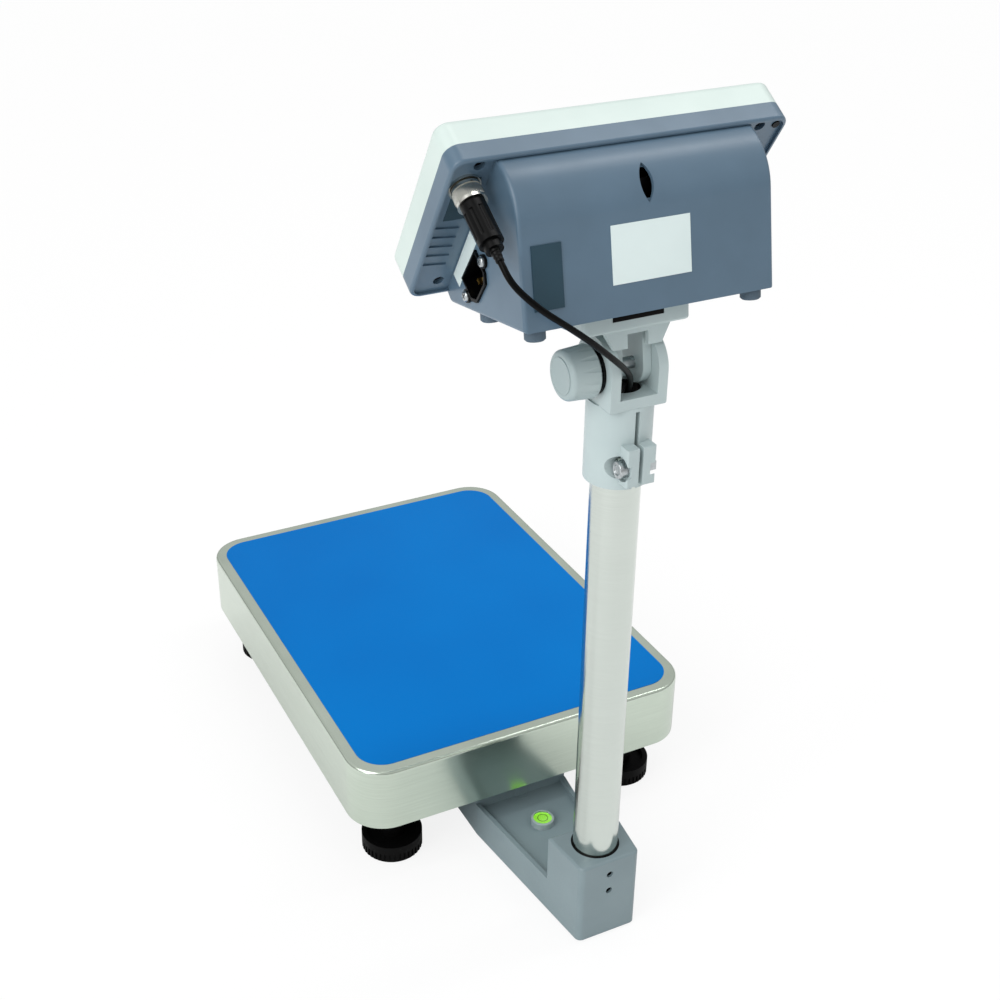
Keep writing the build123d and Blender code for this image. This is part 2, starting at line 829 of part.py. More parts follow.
def make_washer():
    """Toothed friction washer between the ear and the knob."""
    washer = rod_x(washer_r, fork_half_width, fork_half_width + washer_thick, column_y, pivot_z)
    outer_x = fork_half_width + washer_thick
    tooth = block(outer_x - washer_thick / 2, outer_x + 1, -washer_tooth / 2, washer_tooth / 2, -1, 1)
    for k in range(washer_teeth):
        place = Pos(0, column_y, pivot_z) * Rot(k * 360 / washer_teeth, 0, 0) * Pos(0, 0, washer_r)
        washer -= place * tooth
    return washer - rod_x(pivot_r + pivot_clearance, 0, 2 * knob_start, column_y, pivot_z)


def head_place(shape):
    """Move a shape from the head's own frame, pivot at its origin, to its tilted place."""
    return Pos(0, column_y, pivot_z) * Rot(tilt, 0, 0) * shape


def face_place(shape):
    """Move a shape from face coordinates (X, up the face, out of the face) to the head's frame."""
    return face_plane.location * shape


def face_point(u, n):
    """Head-frame (y, z) of a point given up the face and out of it."""
    return (face_top_y + u * face_cos - n * face_sin, face_top_z + u * face_sin + n * face_cos)


def make_indicator_bracket():
    """Cast plate under the housing with two lugs on the pivot."""
    shell = block(-plate_half_width, plate_half_width, plate_front, plate_rear, plate_bottom, box_bottom)
    shell = fillet(shell.edges().filter_by(Axis.Z), 4.0)
    shell = fillet(shell.edges().group_by(Axis.Z)[0], 2.0)
    inner = plate_half_width - plate_wall
    shell -= block(-inner, inner, plate_front + plate_wall, plate_rear - plate_wall,
                   plate_bottom - 1, box_bottom - plate_wall)
    neck = Plane.XZ * make_face(Polyline([
        (-neck_half_width, box_bottom - plate_wall + 1), (neck_half_width, box_bottom - plate_wall + 1),
        (neck_half_width, plate_bottom), (lug_outer, neck_mid), (lug_outer, 0), (-lug_outer, 0),
        (-lug_outer, neck_mid), (-neck_half_width, plate_bottom)], close=True))
    column = extrude(neck, lug_r, both=True)
    skirt_face = Plane.XZ * make_face(Polyline([
        (-skirt_top_half, plate_bottom + 1), (skirt_top_half, plate_bottom + 1),
        (skirt_low_half, skirt_low), (-skirt_low_half, skirt_low)], close=True))
    skirt = Pos(0, skirt_rear, 0) * extrude(skirt_face, skirt_rear - skirt_front)
    body = shell + column + skirt + rod_x(lug_r, -lug_outer, lug_outer, 0, 0)
    body -= block(-lug_inner, lug_inner, -2 * lug_r, 2 * lug_r, -2 * lug_r, neck_mid + 2)
    body -= rod_x(pivot_r + pivot_clearance, -2 * lug_outer, 2 * lug_outer, 0, 0)
    body -= block(-notch_half_width, notch_half_width, plate_rear - notch_depth, plate_rear + 1,
                  box_bottom - notch_height, box_bottom + 1)
    for x, y in plate_screw_points():
        body += rod_z(screw_boss_r, plate_bottom + screw_seat, box_bottom, x, y)
        body -= rod_z(screw_r + hole_clearance, plate_bottom - 1, box_bottom + 1, x, y)
    return head_place(body)


def plate_screw_points():
    """Four screws that hold the housing on its bracket."""
    return [(sx * bracket_screw_x, y) for sx in (-1, 1) for y in bracket_screw_ys]


def make_bracket_screws():
    """Screws up through the indicator bracket into the housing."""
    screws = []
    seat = plate_bottom + screw_seat
    for x, y in plate_screw_points():
        head = rod_z(screw_head_r, seat - screw_head_height, seat, x, y)
        screws.append(head + rod_z(screw_r, seat, housing_floor + screw_reach, x, y))
    return head_place(group(screws))


def box_outline():
    """Side outline of the housing box in the head's frame, as (y, z) in a sketch."""
    low = face_point(-face_height, -head_depth)
    high = face_point(-wing_rim - crease_width, floor_n)
    front_low = face_point(-face_height + 1, -bezel_depth)
    front_high = face_point(-1, -bezel_depth)
    rear_low = (box_rear, box_bottom)
    rear_high = (box_rear - box_rear_lean, shoulder_z)
    straight = Polyline([high, front_high, front_low, low, (box_front, box_bottom), rear_low, rear_high])
    shoulder = TangentArc([rear_high, high], tangent=(-box_rear_lean, shoulder_z - box_bottom))
    return make_face(straight + shoulder)


def slab(inset, n_low, n_high):
    """Rounded block behind the face between two depths, in the head's frame."""
    outline = RectangleRounded(2 * (head_half_width - inset), face_height - 2 * inset, head_corner_r - inset)
    return face_place(Pos(0, -face_height / 2, n_low) * extrude(outline, n_high - n_low))


def box_volume(inset):
    """Housing box, drawn in on all sides by an inset."""
    outline = box_outline()
    if inset:
        outline = offset(outline, amount=-inset, kind=Kind.INTERSECTION)
    box = extrude(Plane.YZ * outline, box_half_width - inset, both=True)
    rear = box.edges().filter_by(lambda e: abs(e.center().X) > box_half_width - inset - 1)
    rear = rear.filter_by(lambda e: e.center().Y > box_front and e.center().Z < shoulder_z + 30)
    rear = rear.filter_by(lambda e: e.center().Z < box_bottom + inset + 1 or e.center().Y > 0)
    return fillet(rear, box_edge_r)


def at_face(shape, x, u, n):
    """Place a shape, made about its own origin with +Z out of the face, at a face point."""
    return face_place(Pos(x, u, n) * shape)


def face_rod(radius, n0, n1, x, u):
    """A round bar square to the face."""
    return at_face(Cylinder(radius, abs(n1 - n0)), x, u, (n0 + n1) / 2)


def housing_screw_points():
    """Four screws that join the two shells, in face coordinates."""
    return [(sx * housing_screw_x, -u) for sx in (-1, 1) for u in (housing_screw_top, housing_screw_bottom)]


def wing_recesses():
    """Shallow sunk floors of the wing beside the box and a crease above it."""
    outline = RectangleRounded(2 * (head_half_width - wing_rim), face_height - 2 * wing_rim,
                               head_corner_r - wing_rim)
    outline -= Pos(0, -wing_rim - crease_width) * Rectangle(2 * box_half_width, face_height)
    return at_face(extrude(outline, wing_floor_sink + 1), 0, -face_height / 2, -head_depth - 1)


def grip_ribs():
    """Slanting ribs on the low outer part of the wing's floor."""
    ribs = Part()
    for side in (-1, 1):
        for k in range(rib_count):
            rib = Rot(0, 0, side * 8) * Box(rib_length, rib_width, rib_height)
            ribs += at_face(rib, side * (head_half_width - wing_rim - rib_length / 2),
                            -rib_low + k * rib_pitch, floor_n - rib_height / 2 + 0.1)
    return ribs


def make_housing():
    """Rear housing: the wing behind the bezel and the deep box, as one shell."""
    wing = slab(0, -head_depth, -bezel_depth)
    wing = fillet(wing.faces().sort_by(head_normal)[0].edges(), wing_edge_r)
    outer = wing - wing_recesses() + box_volume(0)
    outer -= slab(wall, floor_n + wall, 0)
    outer -= box_volume(wall)
    outer += grip_ribs()
    for x, u in housing_screw_points():
        outer += face_rod(counterbore_r + 1.2, floor_n, -bezel_depth, x, u)
        outer -= face_rod(housing_screw_r + hole_clearance, floor_n - 5, -bezel_depth + 5, x, u)
        outer -= face_rod(counterbore_r, floor_n - 5, floor_n + 5, x, u)
    sink = Box(wing_plate_width, wing_plate_height, 2 * wing_plate_sink)
    outer -= at_face(sink, wing_plate_x, wing_plate_u, floor_n)
    outer -= face_rod(socket_r + hole_clearance, floor_n - 5, floor_n + 2 * wall, plug_x, -plug_down)
    outer -= face_rod(seal_pin_r + hole_clearance, floor_n - 1, floor_n + seal_pin_sink, -seal_pin_x,
                      -housing_screw_top)
    outer -= inlet_opening()
    outer -= teardrop()
    for y in rest_ys:
        outer += block(rest_ends[0], rest_ends[1], y - rest_width / 2, y + rest_width / 2,
                       housing_floor - 1, rest_top)
    for x, y in plate_screw_points():
        outer += rod_z(screw_boss_r, housing_floor - 1, rest_top, x, y)
        outer -= rod_z(screw_r + hole_clearance, box_bottom - 1, housing_floor + screw_reach, x, y)
    return head_place(outer)


def teardrop():
    """Pointed sink in the shoulder of the box, between two arcs."""
    radius = (teardrop_length ** 2 / 4 + teardrop_half_width ** 2) / (2 * teardrop_half_width)
    reach = radius - teardrop_half_width
    lens = (Pos(-reach, 0) * Circle(radius)) & (Pos(reach, 0) * Circle(radius))
    tool = Pos(0, 0, -teardrop_depth / 2) * extrude(lens, 10 * teardrop_depth)
    return Pos(0, teardrop_y, teardrop_z) * Rot(teardrop_lean - 90, 0, 0) * tool


def inlet_place(shape):
    """Place a shape made with +Z out of the side wall and its long side along X at the inlet."""
    return Pos(box_half_width, inlet_y, inlet_z) * Rot(0, 90, 0) * Rot(0, 0, inlet_turn) * shape


def inlet_outline(grow):
    """Outline of the appliance inlet: a rectangle with two cut corners."""
    half_long = inlet_long / 2 + grow
    half_short = inlet_short / 2 + grow
    return make_face(Polyline([
        (-half_long, -half_short), (half_long, -half_short), (half_long, half_short - inlet_cut),
        (half_long - inlet_cut, half_short), (-half_long + inlet_cut, half_short),
        (-half_long, half_short - inlet_cut)], close=True))


def inlet_opening():
    """Cut-out for the inlet's body and its two screws."""
    cut = Pos(0, 0, -2 * wall) * extrude(inlet_outline(inlet_wall), 4 * wall)
    for side in (-1, 1):
        cut += Pos(side * inlet_screw_pitch / 2, 0, 0) * Cylinder(inlet_hole_r, 4 * wall)
    return inlet_place(cut)


def make_inlet():
    """Black appliance inlet with its socket and back wall."""
    body = between(inlet_outline(inlet_wall - inlet_slack), -inlet_depth, inlet_flange)
    body -= between(inlet_outline(-inlet_mouth), -inlet_depth + inlet_wall, 2 * inlet_flange)
    for side in (-1, 1):
        x = side * inlet_screw_pitch / 2
        ear = rod_z(inlet_ear_r, 0, inlet_flange, x) - rod_z(inlet_hole_r, -1, inlet_flange + 1, x)
        body += ear - between(inlet_outline(-inlet_mouth), -1, 2 * inlet_flange)
    for x, y in inlet_pin_points():
        body -= Pos(x, y, -inlet_depth) * Box(inlet_pin_thick, inlet_pin_long, 4 * inlet_wall)
    return head_place(inlet_place(body))


def inlet_pin_points():
    """Three flat pins, the middle one set off towards the cut corners."""
    return [(-inlet_pin_pitch, -inlet_pin_shift), (inlet_pin_pitch, -inlet_pin_shift), (0.0, inlet_pin_shift)]


def make_inlet_pins():
    """Live, neutral and earth pins of the inlet."""
    low = -inlet_depth - inlet_pin_tail
    high = -inlet_depth + inlet_pin_length
    pins = [Pos(x, y, (low + high) / 2) * Box(inlet_pin_thick, inlet_pin_long, high - low)
            for x, y in inlet_pin_points()]
    return head_place(inlet_place(group(pins)))


def make_inlet_screws():
    """Two domed screws beside the inlet, with nuts inside the wall."""
    screws = []
    for side in (-1, 1):
        x = side * inlet_screw_pitch / 2
        top = inlet_flange + inlet_head
        head = rod_z(inlet_screw_r, inlet_flange, top, x)
        head = fillet(head.edges().group_by(Axis.Z)[-1], inlet_head_edge)
        bar = Box(*inlet_slot)
        slot = Pos(x, 0, top) * (bar + Rot(0, 0, 90) * bar)
        shank = rod_z(inlet_shank_r, -wall - inlet_nut, inlet_flange + inlet_slack, x)
        nut = Pos(x, 0, -wall - inlet_nut) * hexagon(inlet_nut_flat, inlet_nut)
        screws.append(head + shank + nut - slot)
    return head_place(inlet_place(group(screws)))


def make_bezel():
    """Front bezel shell with the sunk key field, the window opening and inner posts."""
    shell = slab(0, -bezel_depth, 0)
    front = shell.faces().sort_by(head_normal)[-1]
    shell = fillet(front.edges(), bezel_edge_r)
    shell -= slab(wall, -bezel_depth - 1, bezel_inner_n)
    shell -= overlay_shape(window_gap, 2 * overlay_sheet)
    shell -= window_shape(window_gap, -window_sheet, 1)
    shell -= window_shape(-window_ledge, -2 * bezel_depth, 1)
    for k in range(key_count):
        shell -= face_rod(key_stem_r + key_gap, -bezel_depth, 1, key_x(k), -key_down)
    for x, u in housing_screw_points():
        shell += face_rod(post_r, -bezel_depth, -wall, x, u)
        shell -= face_rod(housing_screw_r, -bezel_depth - 1, -bezel_depth + 12, x, u)
    for x, u in board_post_points():
        shell += face_rod(post_r, board_front_n, -wall, x, u)
        shell -= face_rod(post_hole_r, board_front_n - 1, board_front_n + post_hole, x, u)
    return head_place(shell)


def overlay_shape(grow, height):
    """Outline plate of the front overlay, sunk into the bezel and grown all round."""
    outline = RectangleRounded(overlay_width + 2 * grow, overlay_height + 2 * grow, overlay_corner_r)
    return at_face(extrude(outline, height), 0, -face_height / 2, -overlay_sheet)


def window_shape(grow, n0, n1):
    """Block over the display window, grown or shrunk all round."""
    outline = Rectangle(window_width + 2 * grow, window_height + 2 * grow)
    return at_face(extrude(outline, n1 - n0), 0, -window_drop - window_height / 2, n0)


def key_x(k):
    """Place of one key across the face."""
    return (k - (key_count - 1) / 2) * key_pitch


def make_overlay():
    """Printed front overlay with openings for the window and the keys."""
    sheet = overlay_shape(0, overlay_sheet)
    sheet -= window_shape(window_gap, -1, 1)
    for k in range(key_count):
        opening = RectangleRounded(key_width + 2 * key_gap, key_height + 2 * key_gap, key_corner_r)
        sheet -= at_face(extrude(opening, 2, both=True), key_x(k), -key_down, 0)
    return head_place(sheet)


def make_key(k):
    """One key cap with the collar that keeps it in and the stem that presses its switch."""
    x = key_x(k)
    base = -overlay_sheet + key_travel
    cap = extrude(RectangleRounded(key_width, key_height, key_corner_r), key_proud)
    cap = fillet(cap.edges().group_by(Axis.Z)[-1], key_edge_r)
    cap = at_face(cap, x, -key_down, base)
    cap += face_rod(key_stem_r, switch_front_n, base + key_proud / 2, x, -key_down)
    return head_place(cap + face_rod(key_collar_r, bezel_inner_n - key_collar, bezel_inner_n, x, -key_down))


def make_window():
    """Clear display window seated on the ledge of the bezel."""
    return head_place(window_shape(0, -window_sheet, 0))


def make_lcd():
    """Display module on the board behind the window."""
    outline = Rectangle(lcd_width, lcd_height)
    u = -window_drop - window_height / 2
    depth = bezel_inner_n - lcd_front_gap - board_front_n
    return head_place(at_face(extrude(outline, depth), 0, u, board_front_n))


def board_post_points():
    """Four posts that carry the main board."""
    half_w = board_width / 2 - post_inset
    half_h = board_height / 2 - post_inset
    return [(sx * half_w, -face_height / 2 + sy * half_h) for sx, sy in corner_signs]


def make_board():
    """Main board with its key switches."""
    board = at_face(extrude(Rectangle(board_width, board_height), board_sheet), 0, -face_height / 2, -board_back)
    for x, u in board_post_points():
        board -= face_rod(post_hole_r, -board_back - 1, board_front_n + 1, x, u)
    height = switch_height - key_travel
    for k in range(key_count):
        switch = Box(switch_side, switch_side, height)
        board += at_face(switch, key_x(k), -key_down, board_front_n + height / 2)
    return head_place(board)


def make_battery():
    """Sealed battery standing on the rests of the housing, with its two tabs."""
    length, depth, height = battery_size
    case = Pos(battery_x, battery_y, rest_top + height / 2) * Box(length, depth, height)
    for side in (-1, 1):
        x = battery_x + side * length / 3
        case += Pos(x, battery_y, rest_top + height + battery_tab[2] / 2) * Box(*battery_tab)
    return head_place(case)


def make_transformer():
    """Mains transformer on the rests of the housing: its core through its coil."""
    width, depth, height = transformer_size
    core = Box(width * core_share, depth, height)
    coil = Box(width, depth * coil_share, height * coil_share)
    return head_place(Pos(transformer_x, transformer_y, rest_top + height / 2) * (core + coil))


def make_housing_screws():
    """Four screws through the wing into the bezel's posts."""
    screws = []
    for x, u in housing_screw_points():
        head = face_rod(counterbore_r - 0.4, floor_n + 3, floor_n + 5, x, u)
        screws.append(head + face_rod(housing_screw_r, floor_n + 5, -bezel_depth + 10, x, u))
    screws.append(face_rod(seal_pin_r, floor_n - seal_pin_proud, floor_n + seal_pin_sink, -seal_pin_x,
                           -housing_screw_top))
    return head_place(group(screws))


def make_housing_feet():
    """Four rubber feet under the housing."""
    feet = []
    for x in (-housing_foot_x, housing_foot_x):
        for y in housing_foot_ys:
            foot = rod_z(housing_foot_r, box_bottom - housing_foot_height, box_bottom, x, y)
            feet.append(chamfer(foot.edges().group_by(Axis.Z)[0], 1.0))
    return head_place(group(feet))


def on_rear(width, low, height, sheet, x):
    """Thin plate on the flat lower rear of the housing."""
    lean = math.degrees(math.atan(box_rear_lean / (shoulder_z - box_bottom)))
    plate_ = Pos(0, 0, low + height / 2) * Box(width, sheet, height)
    return Pos(x, box_rear, box_bottom) * Rot(lean, 0, 0) * Pos(0, sheet / 2, 0) * plate_


def make_labels():
    """Blank rating label on the back and blank strip on the side."""
    rear = on_rear(label_width, label_low, label_height, label_sheet, 0)
    strip = Pos(box_half_width + label_sheet / 2, strip_y, strip_z) * Rot(face_angle, 0, 0) \
        * Box(label_sheet, strip_length, strip_width)
    return head_place(group([rear, strip]))


def make_cover_plates():
    """Blank cover on the back and the sunk blank plate on the wing."""
    rear = on_rear(cover_width, cover_low, cover_height, cover_sheet, cover_x)
    sunk = Box(wing_plate_width - 2 * window_gap, wing_plate_height - 2 * window_gap, wing_plate_sink)
    sunk = at_face(sunk, wing_plate_x, wing_plate_u, floor_n + wing_plate_sink / 2)
    sunk -= face_rod(socket_r + hole_clearance, floor_n - 5, floor_n + 5, plug_x, -plug_down)
    return head_place(group([rear, sunk]))


def plug_rod(radius, start, end):
    """Round bar on the connector's axis, measured back from the wing's floor."""
    return face_rod(radius, floor_n - start, floor_n - end, plug_x, -plug_down)


def make_socket():
    """Panel socket of the signal connector, with its flange and thread."""
    body = plug_rod(socket_flange_r, 0, socket_flange) + plug_rod(socket_r, -socket_inside, socket_length)
    bore = plug_rod(socket_r - socket_sheet, socket_flange, socket_length + 1)
    return head_place(body - bore)


def fluted(solid, radius, flute_r, count, start, end):
    """Cut even flutes along the connector's axis."""
    for k in range(count):
        turn = k * 2 * math.pi / count
        x = plug_x + radius * math.cos(turn)
        u = -plug_down + radius * math.sin(turn)
        solid -= face_rod(flute_r, floor_n - start, floor_n - end, x, u)
    return solid


def make_nut():
    """Knurled coupling nut of the plug."""
    nut = plug_rod(nut_r, nut_start, nut_start + nut_length)
    nut_end = nut_start + nut_length
    nut = fluted(nut, nut_r, nut_flute_r, nut_flutes, nut_start + nut_smooth, nut_end - nut_smooth)
    nut -= plug_rod(socket_r + nut_clearance, nut_start - 1, shell_start - 1)
    return head_place(nut - plug_rod(plug_body_r + nut_clearance, nut_start, nut_end + 1))


def make_plug_shell():
    """Plug body, its fluted back shell and the neck that grips the cable."""
    shell_end = shell_start + shell_length
    front = nut_start + nut_length + shell_gap
    shell = plug_rod(shell_r, front, shell_end)
    shell = fluted(shell, shell_r + shell_flute_out, shell_flute_r, shell_flutes,
                   shell_start + shell_smooth[0], shell_end - shell_smooth[1])
    shell += plug_rod(plug_body_r, socket_length, front)
    shell += plug_rod(neck_r, shell_end, shell_end + neck_length)
    return head_place(shell)


def world_of_face(x, u, n):
    """Platform-frame point of a face point."""
    y, z = face_point(u, n)
    turn = math.radians(tilt)
    return (x, column_y + y * math.cos(turn) - z * math.sin(turn),
            pivot_z + y * math.sin(turn) + z * math.cos(turn))


def cord(points, radius, radii):
    """A round cord along straight runs joined by tangent arcs."""
    path = FilletPolyline(*points, radius=radii)
    section = Plane(origin=path @ 0, z_dir=path % 0) * Circle(radius)
    tube = sweep(section, path=path)
    expected = math.pi * radius ** 2 * path.length
    print("cord length %.1f mm, volume share %.4f" % (path.length, tube.volume / expected))
    return tube


def turn_radii(points):
    """Radius of each arc: a share of the shorter run over the tangent of half the turn."""
    radii = []
    for before, here, after in zip(points, points[1:], points[2:]):
        first = Vector(*here) - Vector(*before)
        second = Vector(*after) - Vector(*here)
        half_turn = math.radians(first.get_angle(second)) / 2
        radii.append(cable_turn_share * min(first.length, second.length) / math.tan(half_turn))
    print("cord radii " + " ".join("%.1f" % r for r in radii))
    return radii


def make_signal_cable():
    """Free cable from the plug, behind the housing, through the fork and into the column."""
    start = world_of_face(plug_x, -plug_down, plug_exit_n)
    straight = world_of_face(plug_x, -plug_down, plug_exit_n - plug_run)
    points = [start, straight] + cable_route + [(0.0, column_y, cable_end_z)]
    return cord(points, cable_r, turn_radii(points))


def make_column_cable():
    """The same cable inside the column, under the arm and up to the load cell."""
    low_z = (bracket_floor_top - bracket_floor + bracket_bottom) / 2
    cell_z = (cell_bottom + cell_top) / 2
    points = [(0, column_y, cable_end_z), (0, column_y, low_z), (0, cable_rise_y, low_z),
              (0, cable_rise_y, cell_z), (0, cell_length / 2, cell_z)]
    return cord(points, column_cable_r, [held_bend_r] * 3)


nodes = {
    "platform_pan": make_pan(),
    "pan_film": make_film(),
    "pan_pads": make_pads(),
    "top_frame": make_top_frame(),
    "load_cell": make_load_cell(),
    "load_cell_spacers": make_spacers(),
    "load_cell_bolts": make_cell_bolts(),
    "base_frame": make_base_frame(),
    "overload_stops": make_stops(),
    "stud_jam_nuts": make_jam_nuts(),
    "column_bracket": make_bracket(),
    "bracket_bolts": make_bracket_bolts(),
    "level_cup": make_level_cup(),
    "level_fluid": make_level_fluid(),
    "level_lens": make_level_lens(),
    "column_tube": make_column(),
    "column_seal": make_seal(),
    "column_set_screws": make_set_screws(),
    "tilt_fork": make_fork(),
    "clamp_bolt": make_clamp_bolt(),
    "pivot_bolt": make_pivot_bolt(),
    "friction_washer": make_washer(),
    "tilt_knob": make_knob(),
    "knob_insert": make_insert(),
    "indicator_bracket": make_indicator_bracket(),
    "bracket_screws": make_bracket_screws(),
    "rear_housing": make_housing(),
    "front_bezel": make_bezel(),
    "front_overlay": make_overlay(),
    "display_window": make_window(),
    "lcd_module": make_lcd(),
    "main_board": make_board(),
    "battery": make_battery(),
    "transformer": make_transformer(),
    "housing_screws": make_housing_screws(),
    "housing_feet": make_housing_feet(),
    "mains_inlet": make_inlet(),
    "inlet_pins": make_inlet_pins(),
    "inlet_screws": make_inlet_screws(),
    "signal_socket": make_socket(),
    "coupling_nut": make_nut(),
    "plug_shell": make_plug_shell(),
    "blank_labels": make_labels(),
    "cover_plates": make_cover_plates(),
    "signal_cable": make_signal_cable(),
    "column_cable": make_column_cable(),
}
for name, (x, y) in zip(feet_names, feet_points):
    nodes["foot_" + name] = make_foot(x, y)
    nodes["stud_" + name] = make_stud(x, y)
for k in range(key_count):
    nodes["key_%d" % (k + 1)] = make_key(k)

# The origin moves under the middle of the scale
rear_end = nodes["rear_housing"].bounding_box().max.Y
origin_y = (rear_end - pan_length / 2) / 2
os.makedirs("parts", exist_ok=True)
for name, shape in nodes.items():
    export_step(Pos(0, -origin_y, 0) * shape, os.path.join("parts", name + ".step"))
print("origin_y %.4f" % origin_y)
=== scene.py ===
"""Looks of a platform scale: a filmed steel pan on a levelled base, a steel column
behind it and an indicator head on a clamped tilting fork.  Metres, +Z up."""
from __future__ import annotations

import json
import logging
import math
from dataclasses import dataclass
from enum import Enum
from typing import Any, Callable, Iterable, Mapping, Optional, Sequence

import bpy
from mathutils import Matrix, Vector

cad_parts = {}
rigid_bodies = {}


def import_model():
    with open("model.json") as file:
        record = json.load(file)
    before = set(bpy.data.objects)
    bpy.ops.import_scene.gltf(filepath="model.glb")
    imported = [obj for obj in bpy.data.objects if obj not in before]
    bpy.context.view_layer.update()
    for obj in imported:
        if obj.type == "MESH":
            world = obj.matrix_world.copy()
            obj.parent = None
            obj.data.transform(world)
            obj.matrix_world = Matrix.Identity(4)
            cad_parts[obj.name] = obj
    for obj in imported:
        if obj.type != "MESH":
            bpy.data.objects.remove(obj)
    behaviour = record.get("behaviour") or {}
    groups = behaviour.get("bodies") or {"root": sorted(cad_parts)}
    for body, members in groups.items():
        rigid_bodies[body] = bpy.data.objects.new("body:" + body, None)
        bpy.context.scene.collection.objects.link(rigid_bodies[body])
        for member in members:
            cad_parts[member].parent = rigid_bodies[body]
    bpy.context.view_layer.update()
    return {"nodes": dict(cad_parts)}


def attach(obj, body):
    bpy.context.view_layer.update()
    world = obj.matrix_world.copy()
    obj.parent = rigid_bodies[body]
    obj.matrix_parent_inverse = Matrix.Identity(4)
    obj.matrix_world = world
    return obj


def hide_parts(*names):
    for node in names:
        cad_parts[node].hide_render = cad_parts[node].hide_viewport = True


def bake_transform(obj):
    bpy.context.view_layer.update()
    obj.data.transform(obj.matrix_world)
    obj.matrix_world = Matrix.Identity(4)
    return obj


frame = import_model()
LOG = logging.getLogger("platform_scale")
Point = tuple[float, float, float]
Colour = tuple[float, float, float, float]
Socket = bpy.types.NodeSocket
Piece = bpy.types.Object
Material = bpy.types.Material

WHITE: Colour = (1.0, 1.0, 1.0, 1.0)
# Values of a noise pattern between which nearly all of it lies
PATTERN_ENDS = (0.3, 0.7)
# Vertices this close to a plane lie on it
ON_PLANE = 1e-6
# Steps across a rounded edge, and corners of a turned disc
EDGE_STEPS = 3
DISC_SIDES = 48
# Middle of the pivot bolt, the head's tilt at rest, its front face's lean and that face's top edge
PIVOT: Point = (0.0, 0.229535, 0.4695)
HEAD_TILT = 9.0
FACE_LEAN = 48.1
FACE_TOP: Point = (0.0, -0.005, 0.1621)
# Segments of a nought: across and up from its middle in half sizes, and turn in degrees
NOUGHT = {"a": (0, 1, 90), "b": (1, 0.5, 0), "c": (1, -0.5, 0),
          "d": (0, -1, 90), "e": (-1, -0.5, 0), "f": (-1, 0.5, 0)}


class Axis(Enum):
    """Direction along which a ground surface is streaked."""

    Y = (0.0, 1.0, 0.0)
    AROUND = (1.0, 1.0, 0.0)


class Select(Enum):
    """What an edit-mode selection picks, with the mesh's own name for it."""

    VERTICES = "vertices"
    EDGES = "edges"
    FACES = "polygons"


def linear(code: str) -> Colour:
    """Turn an sRGB hex colour into linear RGBA.

    Args:
        code: Six hex digits.

    Returns:
        The linear colour with alpha 1.
    """
    parts = [int(code[i:i + 2], 16) / 255 for i in (0, 2, 4)]
    red, green, blue = (c / 12.92 if c <= 0.04045 else ((c + 0.055) / 1.055) ** 2.4 for c in parts)
    return (red, green, blue, 1.0)


def fill_inputs(tree: bpy.types.NodeTree, node: bpy.types.Node, inputs: Mapping[Any, Any]) -> None:
    """Set or link a node's inputs.

    Args:
        tree: The node tree.
        node: The node.
        inputs: Socket name or number to a value, or to another node's output socket.
    """
    for key, value in inputs.items():
        if isinstance(value, Socket):
            tree.links.new(value, node.inputs[key])
        else:
            node.inputs[key].default_value = value


def add_node(tree: bpy.types.NodeTree, kind: str, settings: Optional[Mapping[str, Any]] = None,
             inputs: Optional[Mapping[Any, Any]] = None) -> bpy.types.Node:
    """Add one node with its settings, values and links.

    Args:
        tree: The node tree that gets the node.
        kind: The node's type name.
        settings: Attribute values of the node.
        inputs: Values and links, as fill_inputs takes them.

    Returns:
        The new node.
    """
    node = tree.nodes.new(kind)
    for name, value in (settings or {}).items():
        setattr(node, name, value)
    fill_inputs(tree, node, inputs or {})
    return node


